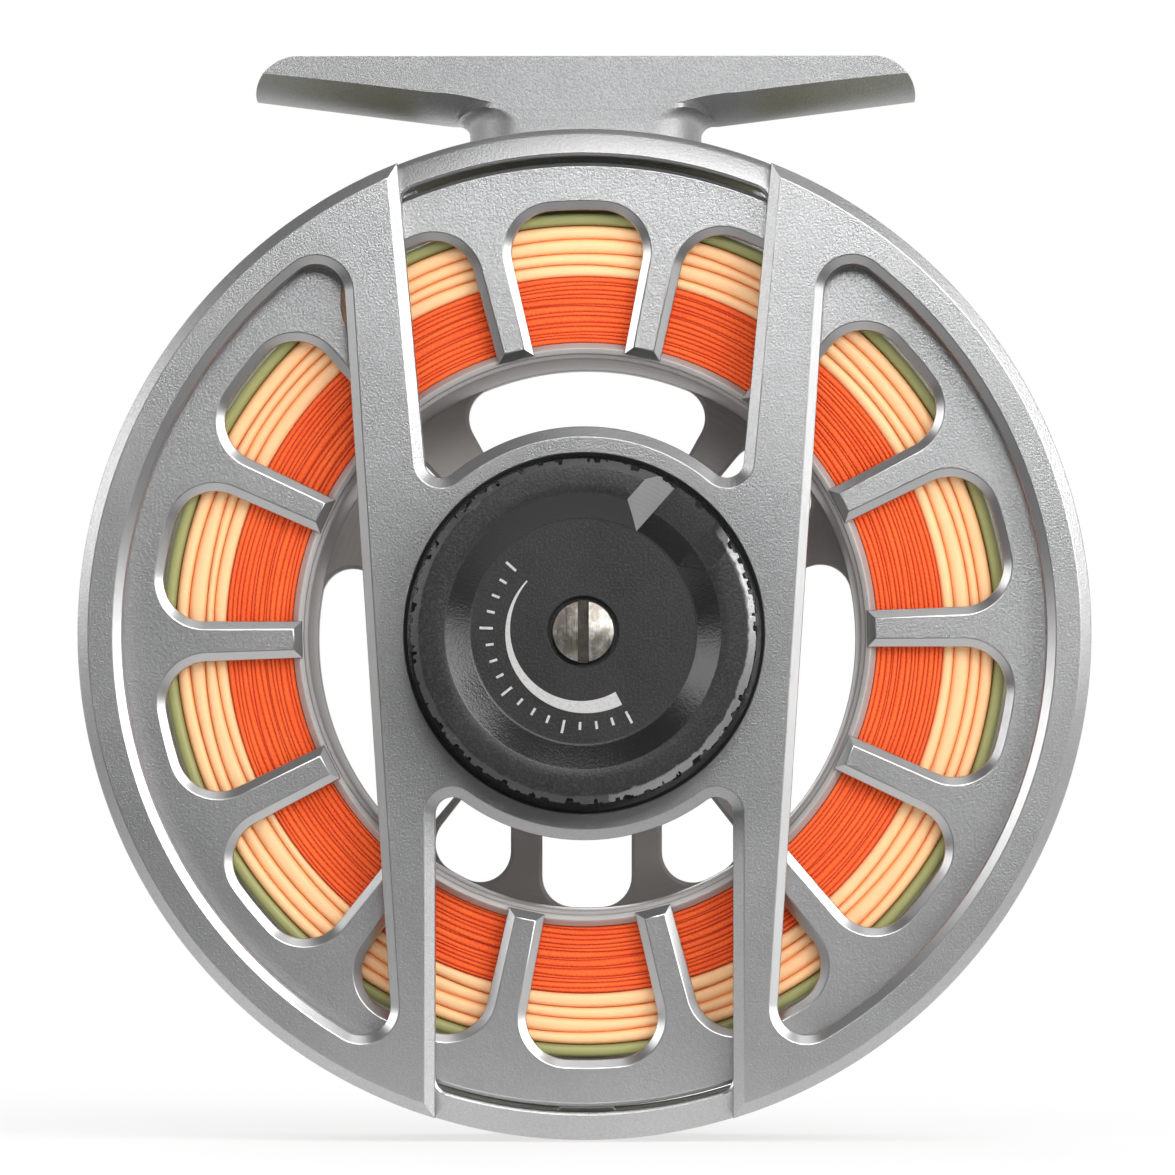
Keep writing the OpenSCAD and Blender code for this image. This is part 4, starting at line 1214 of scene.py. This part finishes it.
class REEL_OT_windings(bpy.types.Operator):
    """Backing, running line and the last turns of the line, strand by strand"""
    bl_idname = "reel.windings"
    bl_label = "Windings"

    def execute(self, context):
        q = sizes(context, "reel_line")
        r0 = sizes(context, "reel_spool").arbor + 0.02
        jobs = (
            ("backing_wound", "backing", "orange_backing",
             winding(r0, q.backing, strands=15, per=7, turns=18, seed=5, drift=0.55),
             finish("braided orange", braided_backing)),
            ("running_line_wound", "running_line", "peach_line",
             winding(q.backing + 0.02, q.running, strands=4, turns=16, seed=11, drift=0.3,
                     outside=False),
             finish("peach line", coated_line(q.peach, q.peach_deep, (0.86, 0.28, 0.08)))),
            ("line_head_wound", "line_head", "olive_line",
             winding(q.running + 0.02, LINE_HI[0], strands=1, turns=16, seed=3, drift=0.2),
             finish("olive line", coated_line(q.olive, q.olive_deep, (0.06, 0.05, 0.02)))),
        )
        for name, node, slot, (pts, uv), mat in jobs:
            s = Shell()
            s.grid(pts, closed_u=False, uv=uv)
            ob = s.build(name, [mat], smooth=70)
            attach(ob, "spool")
            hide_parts(node)
        return {"FINISHED"}


# ---------------------------------------------------------------- knob

def cut(ob, tool):
    """Takes one object's solid out of another and removes it."""
    m = ob.modifiers.new("cut", "BOOLEAN")
    m.operation, m.object, m.solver = "DIFFERENCE", tool, "EXACT"
    dep = bpy.context.evaluated_depsgraph_get()
    me = bpy.data.meshes.new_from_object(ob.evaluated_get(dep), depsgraph=dep)
    old, gone = ob.data, tool.data
    ob.modifiers.clear()
    me.name = old.name
    ob.data = me
    bpy.data.objects.remove(tool, do_unlink=True)
    bpy.data.meshes.remove(gone)
    bpy.data.meshes.remove(old)


class REEL_OT_knob(bpy.types.Operator):
    """Drag knob: fluted side, chipped outer bevel, dished disc and the notch"""
    bl_idname = "reel.knob"
    bl_label = "Drag knob"

    def execute(self, context):
        q = sizes(context, "reel_knob")
        rng = np.random.default_rng(17)
        n = 1760
        t = np.linspace(0, 360, n, endpoint=False)
        top, low, disc = KNOB_TOP, KNOB_LOW, KNOB_TOP - q.dish
        R = KNOB_R - 0.05
        profile = np.array([
            (1.6, low + 3.5), (1.6, low + 1.1), (11.2, low + 1.1), (11.2, low), (R - 0.6, low),
            (R, low + 0.5), (R, low + 1.6), (R, top - 2.4), (R - 0.02, top - 2.2),
            (R - 0.1, top - 2.1), (R - 0.12, top - 0.5), (R - 0.12, top - 0.44),
            (R - 0.2, top - 0.39), (R - 0.85, top - 0.06), (R - 0.95, top - 0.015),
            (R - 1.05, top), (q.ring + 0.9, top), (q.ring + 0.06, top), (q.ring - 0.02, top - 0.03),
            (q.ring - 0.12, top - 0.095), (q.disc + 0.12, disc + 0.095),
            (q.disc + 0.03, disc + 0.025), (q.disc - 0.06, disc), (q.disc - 0.16, disc),
            (7.0, disc), (q.hole + 0.16, disc),
            (q.hole + 0.08, disc), (q.hole, disc - 0.08), (q.hole, disc - 0.2),
            (q.hole, disc - 1.0), (1.6, disc - 1.0)])
        r = np.broadcast_to(profile[None, :, 0], (n, len(profile))).copy()
        h = np.broadcast_to(profile[None, :, 1], (n, len(profile))).copy()
        # Flutes: the side falls back by a half-round groove, q.flutes times a turn.
        phase = (t * q.flutes / 360.0) % 1.0
        flute = 0.42 * np.sqrt(np.clip(1 - ((phase - 0.5) / 0.3) ** 2, 0, 1))
        deep = np.zeros(len(profile))
        deep[4:9] = (0.6, 1, 1, 1, 0.8)
        r -= deep[None] * flute[:, None]
        # Chips: short random bites out of the outer bevel.
        chips = np.zeros(n)
        for _ in range(110):
            at = rng.uniform(0, 360)
            wide, bite = rng.uniform(0.25, 1.7), rng.uniform(0.06, 0.5)
            gap = np.abs((t - at + 180) % 360 - 180)
            chips = np.maximum(chips, bite * np.clip((1 - gap / wide) * 3, 0, 1))
        chips += np.abs(np.interp(t, np.linspace(0, 360, 721), rng.normal(0, 0.03, 721)))
        hit = np.zeros(len(profile))
        hit[9:13] = 1
        r -= hit[None] * chips[:, None]
        hit[9] = 0
        h += (hit * 0.5)[None] * chips[:, None]
        c = polar(1.0, t)
        s = Shell()
        pts = np.stack([r * c[:, :1], r * c[:, 1:], h], -1)
        side = np.zeros(len(profile), int)
        side[4:10] = 2
        s.grid(pts, side[None])
        mats = [finish("black anodised", black_anodised),
                # The bare notch wall finish is a painted highlight on the one wall that faces the
                # light.
                finish("bare notch wall", turned_metal((0.56, 0.56, 0.56), 0.5, 15000.0)),
                finish("black flutes", black_flutes)]
        ob = s.build("drag_knob_turned", mats, smooth=28)
        tool = Shell()
        # What cuts the notch: a trough with its floor and walls, taller than the ring.
        half, rise, reach = q.notch / 2, q.slope / q.dish, 3.0
        floor = disc + 0.012
        sec = np.array([(-half, floor), (half, floor), (half + rise * reach, floor + reach),
                        (-half - rise * reach, floor + reach)])
        u, v = turned([1, 0], q.notch_at), turned([0, 1], q.notch_at)
        rows = np.stack([np.stack([*(d * u[:, None] + sec[:, 0] * v[:, None]), sec[:, 1]], -1)
                         for d in (q.disc - 1.2, KNOB_R + 3)])
        tool.grid(rows[::-1], closed_u=False)
        tool.add(rows[0], [[0, 3, 2, 1]])
        tool.add(rows[1], [[0, 1, 2, 3]])
        cut(ob, tool.build("notch_tool", mats))
        me = ob.data
        sharpen(me, 28)
        # The wall on the notch's upper left side is made bare silver metal, a painted highlight
        # where that wall faces the light.
        nrm = read(me.polygons, "normal", float, 3)
        cen = read(me.polygons, "center", float, 3) / MM
        across = cen[:, 0] * v[0] + (cen[:, 2] - AXIS_Z) * v[1]
        along = cen[:, 0] * u[0] + (cen[:, 2] - AXIS_Z) * u[1]
        slope = np.array([-v[0], -rise, -v[1]]) / math.hypot(1.0, rise)
        bare = (nrm @ slope > 0.998) & (np.abs(across) < half + q.slope) & (along > q.disc - 2)
        kept = read(me.polygons, "material_index")
        me.polygons.foreach_set("material_index", np.where(bare, 1, kept).astype(np.int32))
        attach(ob, "drag_knob")
        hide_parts("drag_knob")
        return {"FINISHED"}


class REEL_OT_marks(bpy.types.Operator):
    """Index on the knob's disc: a tapering band and ticks around it"""
    bl_idname = "reel.marks"
    bl_label = "Index marks"

    def execute(self, context):
        q = sizes(context, "reel_knob")
        s = Shell()
        h0 = KNOB_TOP - q.dish - 0.02
        h1 = h0 + 0.035
        first, last, mid, n = -62, -222, 7.1, 120
        a, wide = np.linspace(first, last, n), np.linspace(1.35, 0.12, n)
        band = [polar(mid + wide / 2, a), polar(mid - wide / 2, a)[::-1]]
        prism(s, np.concatenate(band)[::-1], h1, h0)
        for k in range(17):
            at = first - k * 10.0
            r0, r1 = 8.5, 9.75 if k % 4 == 0 else 9.25
            u, v = polar(1.0, at), polar(1.0, at + 90)
            v = 0.12 * v
            prism(s, np.array([u * r0 - v, u * r1 - v, u * r1 + v, u * r0 + v]), h1, h0)
        ob = s.build("index_marks", [finish("bare index", index_mark)])
        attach(ob, "drag_knob")
        return {"FINISHED"}


class REEL_OT_screw(bpy.types.Operator):
    """Slotted centre screw with a low dome"""
    bl_idname = "reel.screw"
    bl_label = "Centre screw"

    def execute(self, context):
        q = sizes(context, "reel_knob")
        disc = KNOB_TOP - q.dish
        r = q.screw
        # The dome is a cap of a ball, seen from its centre under this half angle.
        half = 24
        a = np.radians(np.linspace(0, half, 13))[::-1]
        dome = r / math.sin(math.radians(half))
        rows = [(0.0, disc - 6.5), (1.45, disc - 6.5), (1.45, disc - 0.95),
                (r - 0.15, disc - 0.95), (r, disc - 0.8), (r, disc - 0.22)]
        lift = dome * (np.cos(a) - math.cos(math.radians(half)))
        cap_rows = np.stack([np.maximum(dome * np.sin(a) - 0.1, 0.0), disc - 0.05 + lift], -1)
        s = Shell()
        lathe(s, np.concatenate([np.array(rows), cap_rows]), 96)
        ob = s.build("centre_screw", [finish("scratched steel", scratched_steel)], smooth=35)
        tool = Shell()
        w, reach = 0.52, 4.0
        prism(tool, np.array([(-w, -reach), (w, -reach), (w, reach), (-w, reach)]),
              disc + 2, disc - 0.45)
        cut(ob, tool.build("slot_tool", [finish("scratched steel", scratched_steel)]))
        sharpen(ob.data, 35)
        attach(ob, "frame")
        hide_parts("knob_screw")
        return {"FINISHED"}


# ---------------------------------------------------------------- handle side

class REEL_OT_handle(bpy.types.Operator):
    """Turning handle, counterweight and cap"""
    bl_idname = "reel.handle"
    bl_label = "Handle side"

    def execute(self, context):
        q = sizes(context, "reel_handle")
        c = sizes(context, "reel_cage")
        end, base, R = -GRIP_HI[1], -GRIP_LO[1], GRIP_HI[0]
        # Side of the grip: a waisted curve with three grooves near its outer end.
        g = np.linspace(0, 1, 90)
        waist = 0.10 * np.sin(np.pi * np.clip(g / 0.62, 0, 1))
        r = R * (0.74 - waist + 0.26 * np.clip((g - 0.3) / 0.62, 0, 1) ** 1.6)
        for at in (0.80, 0.86, 0.92):
            r = r - 0.28 * np.exp(-((g - at) / 0.011) ** 2)
        rounding = np.clip((g - 0.965) / 0.05, 0, 1)
        r = np.minimum(r, R) * np.sqrt(np.clip(1 - rounding ** 2, 0.2, 1))
        side = np.stack([r, base - g * (base - end)], -1)[::-1]
        s = Shell()
        lathe(s, np.concatenate([[(3.35, end + 1.5), (3.6, end + 1.4), (3.6, end)], side,
                                 [(3.35, base)]]), 120, centre=(0.0, -q.at))
        ob = s.build("handle_grip", [finish("grip black", grip_black)], smooth=30)
        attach(ob, "handle")
        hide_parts("handle_knob")
        face = SPOOL_FACE
        s = Shell()
        t = 3.6
        lathe(s, soft([(1.05, face), (1.05, face - t + 1.4), (2.25, face - t + 1.4),
                       (2.25, face - t), (3.6, face - t), (3.75, face - t + 0.2),
                       (4.0, face - t + 0.2), (4.15, face - t), (q.weight, face - t),
                       (q.weight, face)][::-1],
                      [0, 0.5, 0.05, 0.05, 0.05, 0.05, 0.06, 0.02, 0.02, 0.0]), 160,
              centre=(0.0, q.weight_at))
        ob = s.build("counterweight_turned", silver_set(c))
        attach(ob, "spool")
        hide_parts("counterweight")
        s = Shell()
        holes = [circle(1.5, 48, polar(q.screws, a))[::-1] for a in (90, 210, 330)]
        plate(s, [circle(q.cap)] + holes, face, face - 1.8, edge=0.05,
              edge_low=[0.55] + [0.15] * 3, soft_r=0.02)
        lathe(s, soft([(8.3, face - 1.7), (7.6, face - 2.05), (0.0, face - 2.2), (0.0, face - 1.7)],
                      [0.02, 0.3, 0.0, 0.0]), 200)
        ob = s.build("hub_cap", silver_set(c))
        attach(ob, "spool")
        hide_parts("spool_cap")
        return {"FINISHED"}


# ---------------------------------------------------------------- works

STEEL = (0.66, 0.66, 0.65)
WORKS = {
    "turned steel": [
        "foot_screws", "spindle", "cover_screws", "click_ring", "pressure_pins",
        "pressure_plate", "drag_springs", "stator_disc", "bearing_inner_races",
        "spindle_nut", "clutch_cup", "clutch_rollers", "bearing_outer_races", "cap_screws",
        "retaining_ring", "counterweight_screw", "handle_post", "thrust_washer",
        "click_spring"],
    "turned aluminium": ["drag_cover", "drag_rotor", "drive_hub", "bearing_spacer"],
    "ball steel": ["bearing_balls"],
    "bronze": ["handle_bushings", "drag_nut"],
    "carbon": ["carbon_disc_rear", "carbon_disc_front"],
    "seal rubber": ["cover_seal", "shaft_seal"],
}


class REEL_OT_works(bpy.types.Operator):
    """Finishes of the drag, bearings, screws and seals"""
    bl_idname = "reel.works"
    bl_label = "Works"

    def execute(self, context):
        made = {
            "turned steel": finish("turned steel", turned_metal(STEEL, 0.28)),
            "turned aluminium": finish("turned aluminium", turned_metal((0.74, 0.74, 0.75), 0.34)),
            "ball steel": finish("ball steel", turned_metal((0.8, 0.8, 0.82), 0.12, 9000.0)),
            "bronze": finish("bronze", turned_metal((0.62, 0.42, 0.2), 0.34)),
            "carbon": finish("carbon", carbon_weave),
            "seal rubber": finish("seal rubber", black_rubber),
        }
        for key, nodes in WORKS.items():
            for node in nodes:
                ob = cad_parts[node]
                ob.data.materials.clear()
                ob.data.materials.append(made[key])
        return {"FINISHED"}


# ---------------------------------------------------------------- stage

class REEL_OT_stage(bpy.types.Operator):
    """Floor, camera, lamps and world"""
    bl_idname = "reel.stage"
    bl_label = "Stage"

    def execute(self, context):
        q = sizes(context, "reel_shot")
        scene = context.scene
        scene.view_settings.view_transform = "Standard"
        aim = Vector((q.right * MM, -PLATE_H * MM, (AXIS_Z + q.above) * MM))
        tilt, dist = math.radians(q.tilt), q.distance * MM
        cam = bpy.data.cameras.new("camera")
        cam.sensor_width = 36.0
        cam.lens = 36.0 * q.scale * dist
        cam.clip_start, cam.clip_end = 0.01, 20.0
        ob = bpy.data.objects.new("camera", cam)
        scene.collection.objects.link(ob)
        yaw = math.radians(q.yaw)
        ob.location = aim + dist * Vector((math.sin(yaw), -math.cos(yaw) * math.cos(tilt),
                                           -math.sin(tilt)))
        ob.rotation_euler = (aim - ob.location).to_track_quat("-Z", "Y").to_euler()
        scene.camera = ob
        floor_z = (AXIS_Z - CAGE_R - 0.2) * MM
        me = bpy.data.meshes.new("floor")
        g = 3.0
        corners = [(-g, -g), (g, -g), (g, g), (-g, g)]
        me.from_pydata([(*corner, floor_z) for corner in corners], [], [(0, 1, 2, 3)])
        s = Shader(bpy.data.materials.new("pale floor"))
        cam_ray, mirror = s.rays()
        seen = cam_ray.call("MAXIMUM", mirror)
        pos = s.place()
        cloth = s.noise(pos, 30.0, 2.0)
        px, py, _ = s.parts(pos)
        away = s.ramp((px * px + py * py).call("SQRT"), 0.06, 0.22)
        pale = s.mix(cloth * 0.1, (0.86, 0.86, 0.86), (0.9, 0.9, 0.9))
        base = s.node("ShaderNodeBsdfDiffuse", None, Color=pale)
        front = s.ramp(py, -0.09, -0.02)
        bright = cam_ray.call("MAXIMUM", front * 0.9 + 0.1)
        glow = s.node("ShaderNodeEmission", None, Color=(1.0, 1.0, 1.0, 1.0), Strength=bright)
        both = s.node("ShaderNodeMixShader", None, seen * (0.72 + away * 0.28), base, glow)
        me.materials.append(s.end(both))
        floor = bpy.data.objects.new("floor", me)
        scene.collection.objects.link(floor)
        world = bpy.data.worlds.new("studio")
        scene.world = world
        air = Shader(world, "ShaderNodeOutputWorld")
        cam_ray, mirror = air.rays()
        _, dy, _ = air.parts(air.node("ShaderNodeTexCoord", None, out=0))
        behind = q.front + air.ramp(dy, -0.2, 0.75) * (1.0 - q.front)
        level = q.ambient + mirror * (behind - q.ambient)
        level = level.call("MAXIMUM", cam_ray)
        air.end(air.node("ShaderNodeBackground", None, (1.0, 1.0, 1.0, 1.0), level))
        centre = Vector((0.0, 0.0, AXIS_Z * MM))
        for name, at, size, power in (
                ("key lamp", (0.50, -0.62, 0.34), (0.50, 0.50), 4.3),
                ("face lamp", (0.03, -0.40, 0.145), (0.10, 0.10), 0.28),
                ("side lamp", (0.78, -0.42, -0.05), (0.20, 0.90), 1.95),
                ("left lamp", (-0.75, -0.35, 0.25), (0.40, 0.40), 1.35),
                ("top lamp", (0.05, -0.60, 0.62), (0.40, 0.40), 1.2),
                ("back lamp", (-0.2, 0.8, 0.4), (0.50, 0.50), 3.2)):
            lamp = bpy.data.lights.new(name, "AREA")
            lamp.shape, lamp.energy = "RECTANGLE", power
            lamp.size, lamp.size_y = size
            lo = bpy.data.objects.new(name, lamp)
            scene.collection.objects.link(lo)
            lo.location = centre + Vector(at)
            lo.rotation_euler = (centre - lo.location).to_track_quat("-Z", "Y").to_euler()
        return {"FINISHED"}


class REEL_PT_panel(bpy.types.Panel):
    """Lists the reel's pieces and sizes"""
    bl_idname = "REEL_PT_panel"
    bl_label = "Fly reel"
    bl_space_type = "VIEW_3D"
    bl_region_type = "UI"
    bl_category = "Reel"

    def draw(self, context):
        for op in OPERATORS:
            self.layout.operator(op.bl_idname, text=op.bl_label)
        for key, group in GROUPS.items():
            box = self.layout.box()
            box.label(text=group.__doc__)
            data = getattr(context.scene, key)
            for name in group.__annotations__:
                box.prop(data, name)


OPERATORS = (REEL_OT_stage, REEL_OT_cage, REEL_OT_foot, REEL_OT_spool, REEL_OT_windings,
             REEL_OT_knob, REEL_OT_marks, REEL_OT_screw, REEL_OT_handle, REEL_OT_works)


def register():
    """Registers the sizes, the operators and the panel."""
    for key, group in GROUPS.items():
        bpy.utils.register_class(group)
        setattr(bpy.types.Scene, key, bpy.props.PointerProperty(type=group))
    for cls in (*OPERATORS, REEL_PT_panel):
        bpy.utils.register_class(cls)


def unregister():
    """Takes them away again."""
    for cls in reversed((*OPERATORS, REEL_PT_panel)):
        bpy.utils.unregister_class(cls)
    for key, group in reversed(GROUPS.items()):
        delattr(bpy.types.Scene, key)
        bpy.utils.unregister_class(group)


def main():
    """Registers the operators and builds every piece."""
    register()
    for op in OPERATORS:
        group, name = op.bl_idname.split(".")
        getattr(getattr(bpy.ops, group), name)()


if __name__ == "__main__":
    main()
